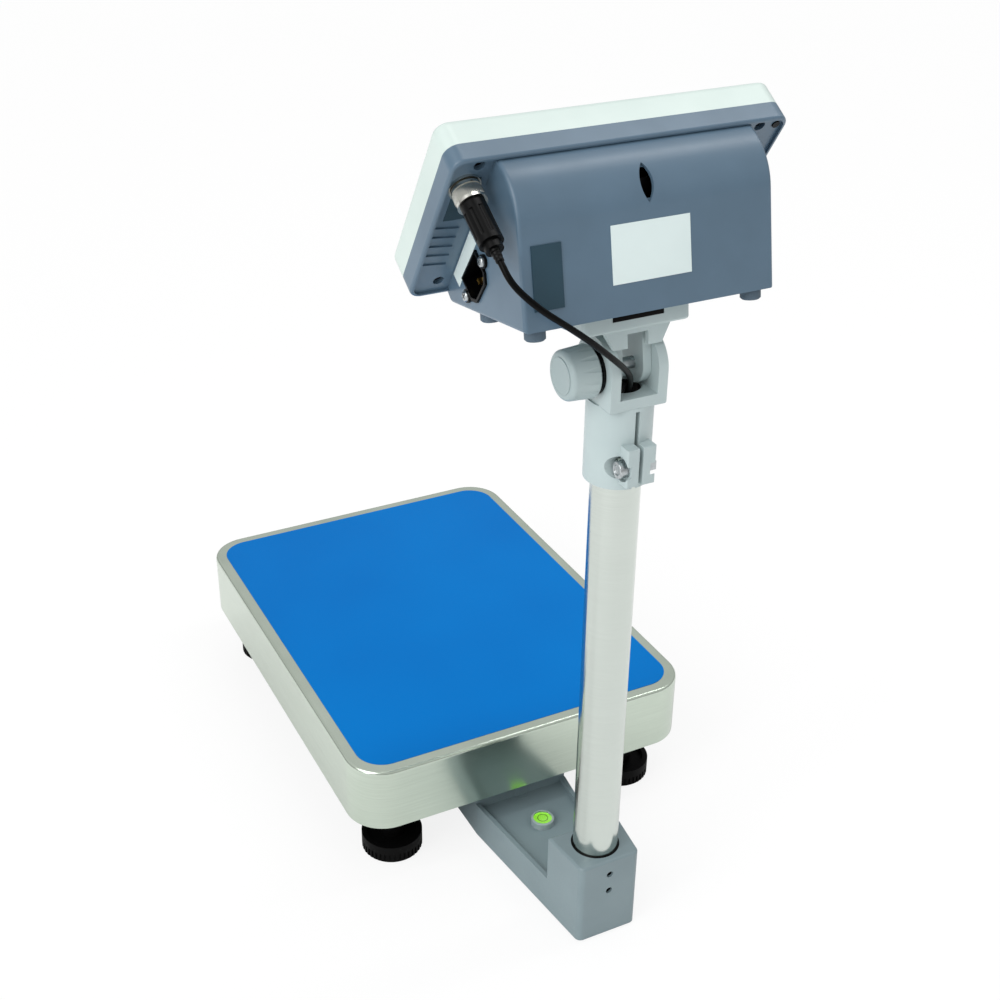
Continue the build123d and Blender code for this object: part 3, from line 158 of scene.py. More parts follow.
class Surface:
    """A node material in the making, round its Principled shader."""

    def __init__(self, name: str) -> None:
        """Start an empty material.

        Args:
            name: The material's name.
        """
        self.material = bpy.data.materials.new(name)
        self.material.use_nodes = True
        self.tree = self.material.node_tree
        self.tree.nodes.clear()
        self.shader = add_node(self.tree, "ShaderNodeBsdfPrincipled")
        self.output = add_node(self.tree, "ShaderNodeOutputMaterial", None,
                               {"Surface": self.shader.outputs["BSDF"]})

    def pattern(self, cell_mm: float, detail: float = 3.0, roughness: float = 0.55,
                stretch: Optional[Point] = None) -> Socket:
        """An uneven pattern through the piece.

        Args:
            cell_mm: Size of its cells.
            detail: Octaves.
            roughness: Strength of the finer octaves.
            stretch: Factor along each axis; below 1 the cells are longer there.

        Returns:
            The pattern's value.
        """
        place = add_node(self.tree, "ShaderNodeTexCoord").outputs["Object"]
        if stretch is not None:
            place = add_node(self.tree, "ShaderNodeMapping", {"vector_type": "POINT"},
                             {"Vector": place, "Scale": stretch}).outputs["Vector"]
        return add_node(self.tree, "ShaderNodeTexNoise", None,
                        {"Vector": place, "Scale": 1000 / cell_mm, "Detail": detail,
                         "Roughness": roughness}).outputs["Fac"]

    def tones(self, pattern: Socket, light: str, dark: str, share: float = 1.0,
              ends: tuple[float, float] = PATTERN_ENDS) -> Socket:
        """Two colours blended by a pattern.

        Args:
            pattern: The pattern.
            light: Hex colour at its low end.
            dark: Hex colour at its high end.
            share: How far the blend goes towards the dark colour.
            ends: Values of the pattern where the blend starts and ends.

        Returns:
            The colour.
        """
        blend = add_node(self.tree, "ShaderNodeMapRange", {"clamp": True},
                         {"Value": pattern, "From Min": ends[0], "From Max": ends[1],
                          "To Min": 0.0, "To Max": share})
        return add_node(self.tree, "ShaderNodeMix", {"data_type": "RGBA"},
                        {"Factor": blend.outputs["Result"], 6: linear(light),
                         7: linear(dark)}).outputs[2]

    def relief(self, *layers: tuple[Socket, float, float]) -> Socket:
        """Relief in layers, the lowest first.

        Args:
            *layers: Each layer's pattern, depth in millimetres and strength.

        Returns:
            The normal.
        """
        below: dict[str, Socket] = {}
        for pattern, depth_mm, strength in layers:
            layer = add_node(self.tree, "ShaderNodeBump", None,
                             {"Height": pattern, "Distance": depth_mm / 1000,
                              "Strength": strength, **below})
            below = {"Normal": layer.outputs["Normal"]}
        return below["Normal"]

    def complete(self, gloss: Socket, roughness: float, swing: tuple[float, float],
                 inputs: Mapping[str, Any]) -> Material:
        """Fill the shader, with a roughness that follows a pattern.

        Args:
            gloss: The pattern.
            roughness: Middle roughness.
            swing: How far the roughness falls and rises from it.
            inputs: The shader's other inputs.

        Returns:
            The material.
        """
        rough = add_node(self.tree, "ShaderNodeMapRange", {"clamp": True},
                         {"Value": gloss, "From Min": PATTERN_ENDS[0], "From Max": PATTERN_ENDS[1],
                          "To Min": roughness - swing[0], "To Max": roughness + swing[1]})
        fill_inputs(self.tree, self.shader, {"Roughness": rough.outputs["Result"], **inputs})
        return self.material


@dataclass(frozen=True)
class MouldedPlastic:
    """ABS, nylon or rubber from a mould: even colour, a fine spark-eroded grain."""

    name: str
    light: str
    dark: str
    roughness: float
    ior: float
    grain_mm: float
    grain_depth_mm: float
    specular: float = 0.5
    mottle_mm: float = 60.0
    swing: tuple[float, float] = (0.03, 0.05)

    def build(self) -> Material:
        """Make the material; the grain is drawn coarser than a real 0.1 mm one so that it shows."""
        surface = Surface(self.name)
        mottle = surface.pattern(self.mottle_mm)
        grain = surface.pattern(self.grain_mm, 2.0)
        return surface.complete(mottle, self.roughness, self.swing, {
            "Base Color": surface.tones(mottle, self.light, self.dark),
            "Normal": surface.relief((grain, self.grain_depth_mm, 1.0)),
            "IOR": self.ior, "Specular IOR Level": self.specular})


@dataclass(frozen=True)
class PaintedCasting:
    """Die-cast aluminium under enamel: soft orange peel, glossy rounded edges."""

    name: str
    light: str
    dark: str
    roughness: float = 0.36
    peel_mm: float = 3.5
    peel_depth_mm: float = 0.035
    peel_strength: float = 0.7
    speck_mm: float = 1.1
    speck_share: float = 0.25
    speck_strength: float = 0.6
    mottle_mm: float = 71.43
    ior: float = 1.5
    swing: tuple[float, float] = (0.05, 0.08)

    def build(self) -> Material:
        """Make the material from two scales of relief and a faint mottle."""
        surface = Surface(self.name)
        mottle = surface.pattern(self.mottle_mm, 4.0)
        peel = surface.pattern(self.peel_mm, 2.0)
        speck = surface.pattern(self.speck_mm, 2.0)
        return surface.complete(speck, self.roughness, self.swing, {
            "Base Color": surface.tones(mottle, self.light, self.dark),
            "Normal": surface.relief(
                (peel, self.peel_depth_mm, self.peel_strength),
                (speck, self.peel_depth_mm * self.speck_share, self.speck_strength)),
            "IOR": self.ior})


@dataclass(frozen=True)
class BrushedSteel:
    """Metal ground with a belt: fine streaks along one direction, mirror between them."""

    name: str
    light: str
    dark: str
    roughness: float
    streak: Axis
    streak_mm: float
    streak_length_mm: float
    depth_mm: float
    anisotropy: float
    strength: float = 0.6
    cloud_mm: float = 111.1
    cloud_share: float = 0.1
    tone_ends: tuple[float, float] = (0.25, 0.8)
    quarter_turn: float = 0.25
    swing: tuple[float, float] = (0.03, 0.05)

    def build(self) -> Material:
        """Make the material; real streaks are finer than its 0.35 to 0.8 mm and would not show."""
        surface = Surface(self.name)
        longer = self.streak_mm / self.streak_length_mm
        stretch = tuple(longer if part else 1.0 for part in self.streak.value)
        lines = surface.pattern(self.streak_mm, 3.0, 0.6, stretch)
        cloud = add_node(surface.tree, "ShaderNodeMapRange", {"clamp": True},
                         {"Value": surface.pattern(self.cloud_mm, 2.0),
                          "From Min": PATTERN_ENDS[0], "From Max": PATTERN_ENDS[1],
                          "To Min": -self.cloud_share, "To Max": self.cloud_share})
        mixed = add_node(surface.tree, "ShaderNodeMath", {"operation": "ADD"},
                         {0: lines, 1: cloud.outputs["Result"]}).outputs[0]
        return surface.complete(lines, self.roughness, self.swing, {
            "Base Color": surface.tones(mixed, self.light, self.dark, 1.0, self.tone_ends),
            "Normal": surface.relief((lines, self.depth_mm, self.strength)),
            "Metallic": 1.0, "Anisotropic": self.anisotropy,
            "Anisotropic Rotation": self.quarter_turn})


@dataclass(frozen=True)
class PlatedMetal:
    """Zinc, nickel or brass on turned and pressed small parts: bright, with a cloudy patina."""

    name: str
    light: str
    dark: str
    roughness: float = 0.28
    cloud_mm: float = 4.0
    scratch_mm: float = 0.3846
    scratch_depth_mm: float = 0.004
    strength: float = 0.5
    swing: tuple[float, float] = (0.03, 0.05)

    def build(self) -> Material:
        """Make the material from a cloudy mix of two tones and fine scratches."""
        surface = Surface(self.name)
        cloud = surface.pattern(self.cloud_mm, 4.0)
        scratch = surface.pattern(self.scratch_mm, 2.0)
        return surface.complete(cloud, self.roughness, self.swing, {
            "Base Color": surface.tones(cloud, self.light, self.dark),
            "Normal": surface.relief((scratch, self.scratch_depth_mm, self.strength)),
            "Metallic": 1.0})


@dataclass(frozen=True)
class ThinFilm:
    """Polyethylene protective film: saturated, with shallow puckers where it has lifted."""

    name: str
    light: str
    dark: str
    roughness: float = 0.34
    pucker_mm: float = 38.0
    pucker_depth_mm: float = 0.5
    pucker_strength: float = 0.25
    grain_mm: float = 1.111
    grain_depth_mm: float = 0.006
    grain_strength: float = 0.5
    cloud_mm: float = 200.0
    ior: float = 1.51
    specular: float = 0.04
    swing: tuple[float, float] = (0.05, 0.07)

    def build(self) -> Material:
        """Make the material from broad puckers and a fine matt grain."""
        surface = Surface(self.name)
        pucker = surface.pattern(self.pucker_mm, 2.0, 0.4)
        grain = surface.pattern(self.grain_mm, 2.0)
        cloud = surface.pattern(self.cloud_mm, 2.0)
        return surface.complete(grain, self.roughness, self.swing, {
            "Base Color": surface.tones(cloud, self.light, self.dark),
            "Normal": surface.relief((pucker, self.pucker_depth_mm, self.pucker_strength),
                                     (grain, self.grain_depth_mm, self.grain_strength)),
            "IOR": self.ior, "Specular IOR Level": self.specular})


@dataclass(frozen=True)
class ClearSheet:
    """Clear or tinted acrylic, glass or liquid, with faint moulding flow in its surface."""

    name: str
    tint: str
    roughness: float = 0.04
    ior: float = 1.49
    clear: float = 0.98
    # Emission strength: above nought it is a painted glow standing in for light shining through
    glow: float = 0.0
    flow_mm: float = 8.333
    flow_depth_mm: float = 0.01
    strength: float = 0.3
    pale_share: float = 0.15
    swing: tuple[float, float] = (0.0, 0.04)

    def build(self) -> Material:
        """Make the material from transmission and a very shallow flow relief."""
        surface = Surface(self.name)
        flow = surface.pattern(self.flow_mm, 2.0)
        return surface.complete(flow, self.roughness, self.swing, {
            "Base Color": surface.tones(flow, self.tint, "ffffff", self.pale_share),
            "Normal": surface.relief((flow, self.flow_depth_mm, self.strength)),
            "IOR": self.ior, "Transmission Weight": self.clear,
            "Emission Color": linear(self.tint), "Emission Strength": self.glow})


FINISHES: dict[str, Any] = {
    # Cold-rolled stainless sheet, belt ground: a soft mirror smeared across the belt's direction
    "pan": BrushedSteel("stainless_sheet_belt_ground", "cad5c8", "b9c4b7", 0.2, Axis.AROUND,
                        0.35, 70.0, 0.0012, 0.6),
    # Stainless tube, ground round and polished: smooth bright reflections along it
    "tube": BrushedSteel("stainless_tube_ground", "ccd3cd", "bfc6c0", 0.16, Axis.AROUND,
                         0.4, 60.0, 0.0006, 0.5),
    # Polyethylene film: saturated cyan blue, half gloss
    "film": ThinFilm("polyethylene_film_blue", "0073c2", "006bba"),
    # Die-cast aluminium, stove enamelled mid grey: soft sparkle on the edges
    "bracket": PaintedCasting("enamelled_casting_grey", "7c8d92", "728388"),
    # Die-cast aluminium, stove enamelled light grey
    "fork": PaintedCasting("enamelled_casting_light", "b8c7c7", "aebdbe", 0.4),
    # Steel tube frames, powder coated dark grey: matt with a fine grain
    "frame": PaintedCasting("powder_coated_steel", "4a5052", "3e4446", 0.55, 1.6, 0.05),
    # ABS moulded against a spark-eroded tool: blue grey, silky
    "housing": MouldedPlastic("abs_moulded_blue_grey", "566e81", "4e6577", 0.32, 1.53, 0.8, 0.006),
    # ABS moulded against a polished tool: off-white, glossy
    "bezel": MouldedPlastic("abs_moulded_white", "cddbd6", "c5d4cf", 0.3, 1.53, 1.2, 0.004),
    # ABS plate let into the housing: darker teal grey
    "cover": MouldedPlastic("abs_plate_dark", "24404e", "1e3844", 0.5, 1.53, 0.7, 0.02, 0.3),
    # Nylon moulded light grey
    "knob": MouldedPlastic("nylon_moulded_grey", "a5b4b5", "9aaaab", 0.48, 1.53, 0.9, 0.015),
    # Nylon moulded black, satin
    "black": MouldedPlastic("nylon_moulded_black", "050607", "030303", 0.34, 1.53, 0.9, 0.01, 0.12),
    # Natural rubber, moulded: nearly black and matt
    "rubber": MouldedPlastic("rubber_moulded", "060606", "030303", 0.5, 1.52, 1.2, 0.03, 0.08),
    # Rubber feet of the housing, grey blue
    "grey_rubber": MouldedPlastic("rubber_moulded_grey", "4d606f", "435563", 0.6, 1.52, 1.2, 0.03),
    # PVC jacket, extruded black: smooth satin
    "jacket": MouldedPlastic("pvc_extruded_black", "040505", "020202", 0.3, 1.54, 1.5, 0.004, 0.07),
    # Zinc-plated steel: pale and slightly cloudy
    "zinc": PlatedMetal("zinc_plated_steel", "c3c8c9", "9fa5a8"),
    # Nickel-plated brass: warm bright grey
    "nickel": PlatedMetal("nickel_plated_brass", "d8d8d1", "cbcbc4", 0.2, 14.0),
    # Black-oxide steel
    "oxide": PlatedMetal("black_oxide_steel", "232527", "151719", 0.38),
    # Turned brass
    "brass": PlatedMetal("turned_brass", "cfa955", "b18c3f", 0.3),
    # Machined aluminium bar
    "aluminium": BrushedSteel("machined_aluminium", "d0d2d3", "b8babc", 0.32, Axis.Y,
                              0.8, 30.0, 0.004, 0.3),
    # Vinyl label, white and bare
    "label": MouldedPlastic("vinyl_label_white", "dae8e7", "d3e1e0", 0.5, 1.48, 2.5, 0.006),
    # Polycarbonate overlay, printed from behind: slate blue
    "overlay": MouldedPlastic("polycarbonate_overlay_slate", "3d566e", "374f66", 0.46, 1.58,
                              0.5, 0.01),
    # ABS key caps, pale blue grey
    "key": MouldedPlastic("abs_key_pale", "a9bac6", "9dafbc", 0.5, 1.53, 0.7, 0.015),
    # Pad-printed marks on the keys: dark ink
    "ink": MouldedPlastic("printed_ink_dark", "1d2b3a", "182532", 0.5, 1.5, 0.6, 0.004),
    # Clear acrylic
    "window": ClearSheet("acrylic_clear", "f2f7f7"),
    # Reflective liquid-crystal glass: grey green
    "lcd": MouldedPlastic("lcd_glass_grey_green", "9dab96", "94a28d", 0.2, 1.52, 3.0, 0.001),
    # Dark liquid-crystal segments
    "segment": MouldedPlastic("lcd_segment_dark", "0b0e0b", "080a08", 0.5, 1.52, 3.0, 0.001, 0.2),
    # Level cup, moulded acrylic: pale and milky
    "cup": ClearSheet("level_cup_milky", "9fb0b4", 0.2, 1.49, 0.25),
    # Level liquid: fluorescent yellow green, with a painted glow standing in for light shining
    # through it
    "liquid": ClearSheet("level_liquid_lime", "a2ee26", 0.05, 1.36, 0.3, 0.45),
    # Level lens, clear acrylic
    "lens": ClearSheet("level_lens_clear", "f4fbee", 0.02, 1.49, 0.97),
    # Epoxy glass board under green solder mask
    "board": MouldedPlastic("solder_mask_green", "1f5a34", "184a2a", 0.35, 1.55, 1.0, 0.01),
    # Stacked silicon-steel laminations
    "core": PaintedCasting("laminated_iron", "3a3735", "2c2a28", 0.5, 0.5, 0.05),
}
MATERIALS: dict[str, Material] = {}


def finish(name: str) -> Material:
    """The material of one finish, made on first use.

    Args:
        name: A key of FINISHES.

    Returns:
        The material.
    """
    if name not in MATERIALS:
        MATERIALS[name] = FINISHES[name].build()
    return MATERIALS[name]


def dress(piece: Piece, name: str) -> None:
    """Give a piece one finish over its whole surface.

    Args:
        piece: A CAD node or a new mesh.
        name: A key of FINISHES.
    """
    if not piece.material_slots:
        piece.data.materials.append(finish(name))
    for place in piece.material_slots:
        place.material = finish(name)


def dress_nodes(looks: Mapping[str, Iterable[str]]) -> None:
    """Give CAD nodes their finishes.

    Args:
        looks: Key of FINISHES to the CAD nodes that get it.
    """
    for name, nodes in looks.items():
        for node in nodes:
            dress(frame["nodes"][node], name)
            LOG.info("dressed %s as %s", node, name)


def new_object(name: str, data: Any) -> Piece:
    """Make an object and put it in the scene.

    Args:
        name: Its name.
        data: Its camera, light or curve.

    Returns:
        The object.
    """
    item = bpy.data.objects.new(name, data)
    bpy.context.scene.collection.objects.link(item)
    return item


def deselect() -> None:
    """Leave nothing selected."""
    for item in bpy.context.view_layer.objects:
        item.select_set(False)


def activate(piece: Piece) -> None:
    """Select one object alone and make it active."""
    deselect()
    piece.select_set(True)
    bpy.context.view_layer.objects.active = piece


def settle(piece: Piece, name: str) -> Piece:
    """Name a piece, move its place into its mesh and leave the object at the origin.

    Args:
        piece: The object.
        name: Its new name.

    Returns:
        The piece.
    """
    piece.name = name
    piece.data.name = name
    bpy.context.view_layer.update()
    piece.data.transform(piece.matrix_world)
    piece.matrix_world = Matrix.Identity(4)
    return piece


def apply_modifier(piece: Piece, kind: str, **settings: Any) -> None:
    """Add one modifier and apply it.

    Args:
        piece: The object.
        kind: The modifier's type.
        **settings: Its attribute values.
    """
    activate(piece)
    modifier = piece.modifiers.new(kind.lower(), kind)
    for key, value in settings.items():
        setattr(modifier, key, value)
    bpy.ops.object.modifier_apply(modifier=modifier.name)


def smooth(piece: Piece, degrees: float) -> None:
    """Shade a piece smooth up to an angle."""
    activate(piece)
    bpy.ops.object.shade_smooth_by_angle(angle=math.radians(degrees))


def pick(piece: Piece, mode: Select, wanted: Callable[[Any], bool] = lambda element: True) -> None:
    """Enter edit mode with only the wanted elements selected.

    Args:
        piece: The object.
        mode: Faces, edges or vertices.
        wanted: Says whether a mesh element is selected; all are if it isn't given.
    """
    activate(piece)
    for kind in Select:
        group = getattr(piece.data, kind.value)
        group.foreach_set("select", [False] * len(group))
    bpy.context.tool_settings.mesh_select_mode = [mode is kind for kind in Select]
    for element in getattr(piece.data, mode.value):
        if wanted(element):
            element.select = True
    bpy.ops.object.mode_set(mode="EDIT")


def pick_standing(piece: Piece, length: float) -> None:
    """Enter edit mode with the edges selected that run up a round bar.

    Args:
        piece: The bar, along Z.
        length: Its length.
    """
    ends = piece.data.vertices
    pick(piece, Select.EDGES,
         lambda e: abs(ends[e.vertices[0]].co.z - ends[e.vertices[1]].co.z) > length / 2)


def leave_edit() -> None:
    """Go back to object mode."""
    bpy.ops.object.mode_set(mode="OBJECT")


def node_box(name: str) -> tuple[Vector, Vector]:
    """Lowest and highest corner of a CAD node.

    Args:
        name: The node.

    Returns:
        The two corners.
    """
    piece = frame["nodes"][name]
    corners = [piece.matrix_world @ Vector(c) for c in piece.bound_box]
    return Vector(map(min, zip(*corners))), Vector(map(max, zip(*corners)))


def on_face(x: float, u: float, n: float) -> Matrix:
    """Placement on the indicator's front face.

    Args:
        x: Metres to the right, seen from the front.
        u: Metres up the face from its top edge, so mostly negative.
        n: Metres out of the face.

    Returns:
        The placement; its local axes are right, up the face and out of it.
    """
    tilt, lean = math.radians(HEAD_TILT), math.radians(FACE_LEAN + HEAD_TILT)
    along = Vector((0.0, math.cos(lean), math.sin(lean)))
    out = Vector((0.0, -math.sin(lean), math.cos(lean)))
    corner = Matrix.Rotation(tilt, 3, "X") @ Vector(FACE_TOP) + Vector(PIVOT)
    place = Matrix((Vector((1.0, 0.0, 0.0)), along, out)).transposed().to_4x4()
    place.translation = corner + along * u + out * n + Vector((x, 0.0, 0.0))
    return place


def copy_of(piece: Piece, place: Matrix, name: str) -> Piece:
    """Copy a piece with a mesh of its own, moved by a placement.

    Args:
        piece: The piece that is copied.
        place: Where the copy goes.
        name: The copy's name.

    Returns:
        The copy.
    """
    twin = piece.copy()
    twin.data = piece.data.copy()
    bpy.context.scene.collection.objects.link(twin)
    twin.data.transform(place)
    twin.name = name
    twin.data.name = name
    return twin


def sink_top(piece: Piece, rim: float, depth: float) -> None:
    """Sink the flat top of a piece and leave a rim round it.

    Args:
        piece: The piece.
        rim: Width of the rim.
        depth: How far the middle sinks.
    """
    top = max(v.co.z for v in piece.data.vertices)
    pick(piece, Select.FACES, lambda f: f.center.z > top - ON_PLANE)
    bpy.ops.mesh.inset(thickness=rim)
    bpy.ops.mesh.extrude_region_move(TRANSFORM_OT_translate={"value": (0, 0, -depth)})
    leave_edit()


def rounded_block(name: str, low: Point, high: Point, radius: float,
                  place: Matrix = Matrix()) -> Piece:
    """A block with rounded edges and a shallow lip round its upper face.

    Args:
        name: The piece's name.
        low: Lowest corner.
        high: Highest corner.
        radius: Rounding of the edges.
        place: Placement of the finished block.

    Returns:
        The block.
    """
    deselect()
    bpy.ops.mesh.primitive_cube_add(size=1.0, location=(Vector(low) + Vector(high)) / 2)
    block = bpy.context.active_object
    block.scale = Vector(high) - Vector(low)
    settle(block, name)
    sink_top(block, 2 * radius, radius)
    apply_modifier(block, "BEVEL", width=radius, segments=EDGE_STEPS, limit_method="ANGLE")
    block.data.transform(place)
    smooth(block, 40.0)
    return block


@dataclass(frozen=True)
class Disc:
    """A disc with a rounded rim and a sunk middle, its axis along Z before placing."""

    radius: float
    thick: float
    edge: float
    rim: float
    sink: float

    def build(self, name: str, place: Matrix) -> Piece:
        """Make the disc.

        Args:
            name: The piece's name.
            place: Placement; the disc stands on its local origin.

        Returns:
            The disc.
        """
        deselect()
        bpy.ops.mesh.primitive_cylinder_add(vertices=DISC_SIDES, radius=self.radius,
                                            depth=self.thick, location=(0, 0, self.thick / 2))
        disc = settle(bpy.context.active_object, name)
        sink_top(disc, self.rim, self.sink)
        apply_modifier(disc, "BEVEL", width=self.edge, segments=EDGE_STEPS, limit_method="ANGLE",
                       angle_limit=math.radians(50))
        disc.data.transform(place)
        smooth(disc, 30.0)
        return disc


def flat_outline(name: str, sides: int, radius: float, line: float, thick: float,
                 place: Matrix) -> Piece:
    """A thin flat outline with equal sides, as printed.

    Args:
        name: The piece's name.
        sides: Number of sides; many make a ring.
        radius: Outside radius.
        line: Width of the line.
        thick: How far it stands up.
        place: Placement of the outline.

    Returns:
        The outline.
    """
    deselect()
    bpy.ops.mesh.primitive_circle_add(vertices=sides, radius=radius, fill_type="NGON")
    outline = bpy.context.active_object
    pick(outline, Select.FACES)
    bpy.ops.mesh.inset(thickness=line)
    leave_edit()
    centre = min(outline.data.polygons, key=lambda f: Vector(f.center).length).index
    pick(outline, Select.FACES, lambda f: f.index == centre)
    bpy.ops.mesh.delete(type="FACE")
    leave_edit()
    apply_modifier(outline, "SOLIDIFY", thickness=thick, offset=1.0)
    outline.matrix_world = place
    return settle(outline, name)


def fit_piece(piece: Piece, look: str, body: str,
              replaced: Optional[str] = None) -> None:
    """Give a finished piece its look and its body.

    Args:
        piece: The piece.
        look: A key of FINISHES.
        body: The body that carries it.
        replaced: The CAD node that it stands for, if any.
    """
    dress(piece, look)
    if replaced is not None:
        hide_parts(replaced)
    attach(piece, body)
    LOG.info("built %s", piece.name)


@dataclass(frozen=True)
class StripLamp:
    """One rectangular soft lamp, its size in metres and its power in watts."""

    name: str
    at: Point
    towards: Point
    size: tuple[float, float]
    power: float = 6.0

    def build(self) -> None:
        """Hang the lamp and aim it."""
        lamp = bpy.data.lights.new(self.name, "AREA")
        lamp.shape = "RECTANGLE"
        lamp.size, lamp.size_y = self.size
        lamp.energy = self.power
        aim = (Vector(self.towards) - Vector(self.at)).to_track_quat("-Z", "Y")
        new_object(self.name, lamp).matrix_world = (
            Matrix.Translation(self.at) @ aim.to_matrix().to_4x4())


@dataclass
class Studio:
    """Pale floor, soft light and the camera."""

    camera_at: Point = (0.46004, 0.95377, 0.84938)
    pitch: float = 29.13
    yaw: float = 25.79
    lens: float = 53.14
    sensor: float = 36.0
    shift: tuple[float, float] = (0.0354, -0.0044)
    wall_from: float = -0.1
    wall_to: float = 0.55
    wall_low: float = 0.3
    wall_high: float = 0.72
    floor_size: float = 30.0
    floor_tones: tuple[str, str] = ("fbfbfb", "f9f9f9")
    floor_cloud_mm: float = 333.3
    floor_share: float = 0.4
    floor_roughness: float = 0.9
    floor_glow: float = 0.85
    sun_level: float = 1.25
    sun_spread: float = 50.0
    sun_aim: Point = (-0.9, -0.35, -0.8)
    strips: Sequence[StripLamp] = (
        StripLamp("strip_over_head", (-0.6, 0.22, 1.8), (0.0, 0.2, 0.6), (0.16, 1.6)),
        StripLamp("strip_by_corner", (1.7, 0.8, 1.0), (0.1, 0.1, 0.1), (0.25, 1.4)),
    )

    def build_camera(self) -> None:
        """Place the camera at the photograph's viewpoint."""
        camera = new_object("camera", bpy.data.cameras.new("camera"))
        camera.data.lens = self.lens
        camera.data.sensor_width = self.sensor
        camera.data.shift_x, camera.data.shift_y = self.shift
        pitch, yaw = math.radians(self.pitch), math.radians(self.yaw)
        ahead = Vector((-math.sin(yaw) * math.cos(pitch), -math.cos(yaw) * math.cos(pitch),
                        -math.sin(pitch)))
        right = Vector((-math.cos(yaw), math.sin(yaw), 0.0))
        turn = Matrix((right, right.cross(ahead), -ahead)).transposed().to_4x4()
        camera.matrix_world = Matrix.Translation(self.camera_at) @ turn
        bpy.context.scene.camera = camera

    def build_world(self) -> None:
        """White walls brighter towards the ceiling; the camera sees them plain white."""
        world = bpy.data.worlds.new("studio_world")
        world.use_nodes = True
        tree = world.node_tree
        tree.nodes.clear()
        path = add_node(tree, "ShaderNodeLightPath").outputs
        seen = add_node(tree, "ShaderNodeMath", {"operation": "MAXIMUM"},
                        {0: path["Is Camera Ray"], 1: path["Is Transmission Ray"]})
        way = add_node(tree, "ShaderNodeTexCoord")
        height = add_node(tree, "ShaderNodeSeparateXYZ", None, {"Vector": way.outputs["Generated"]})
        wall = add_node(tree, "ShaderNodeMapRange", {"interpolation_type": "SMOOTHSTEP"},
                        {"Value": height.outputs["Z"],
                         "From Min": self.wall_from, "From Max": self.wall_to,
                         "To Min": self.wall_low, "To Max": self.wall_high})
        level = add_node(tree, "ShaderNodeMix", {"data_type": "FLOAT"},
                         {"Factor": seen.outputs[0], "A": wall.outputs["Result"], "B": 1.0})
        light = add_node(tree, "ShaderNodeBackground", None,
                         {"Color": WHITE, "Strength": level.outputs[0]})
        add_node(tree, "ShaderNodeOutputWorld", None, {"Surface": light.outputs["Background"]})
        bpy.context.scene.world = world

    def build_floor(self) -> None:
        """A pale floor that keeps the object's shadow and otherwise reaches white."""
        deselect()
        bpy.ops.mesh.primitive_plane_add(size=self.floor_size, location=(0, 0, 0))
        floor = settle(bpy.context.active_object, "studio_floor")
        paper = Surface("floor_paper_white")
        cloud = paper.pattern(self.floor_cloud_mm)
        fill_inputs(paper.tree, paper.shader, {
            "Base Color": paper.tones(cloud, *self.floor_tones, self.floor_share),
            "Roughness": self.floor_roughness, "Specular IOR Level": 0.0})
        path = add_node(paper.tree, "ShaderNodeLightPath")
        glow = add_node(paper.tree, "ShaderNodeEmission", None, {"Color": WHITE, "Strength": 1.0})
        share = add_node(paper.tree, "ShaderNodeMath", {"operation": "MULTIPLY"},
                         {0: path.outputs["Is Camera Ray"], 1: self.floor_glow})
        mixed = add_node(paper.tree, "ShaderNodeMixShader", None,
                         {0: share.outputs[0], 1: paper.shader.outputs["BSDF"],
                          2: glow.outputs["Emission"]})
        fill_inputs(paper.tree, paper.output, {"Surface": mixed.outputs[0]})
        floor.data.materials.append(paper.material)

    def build_lights(self) -> None:
        """A broad light from the connector side and two strips that draw the highlights."""
        sun = bpy.data.lights.new("high_light", "SUN")
        sun.energy = self.sun_level
        sun.angle = math.radians(self.sun_spread)
        aim = Vector(self.sun_aim).to_track_quat("-Z", "Y")
        new_object("high_light", sun).matrix_world = aim.to_matrix().to_4x4()
        for strip in self.strips:
            strip.build()

    def build(self) -> None:
        """Build all of the studio."""
        bpy.context.scene.view_settings.view_transform = "Standard"
        self.build_camera()
        self.build_world()
        self.build_floor()
        self.build_lights()
        LOG.info("studio ready")


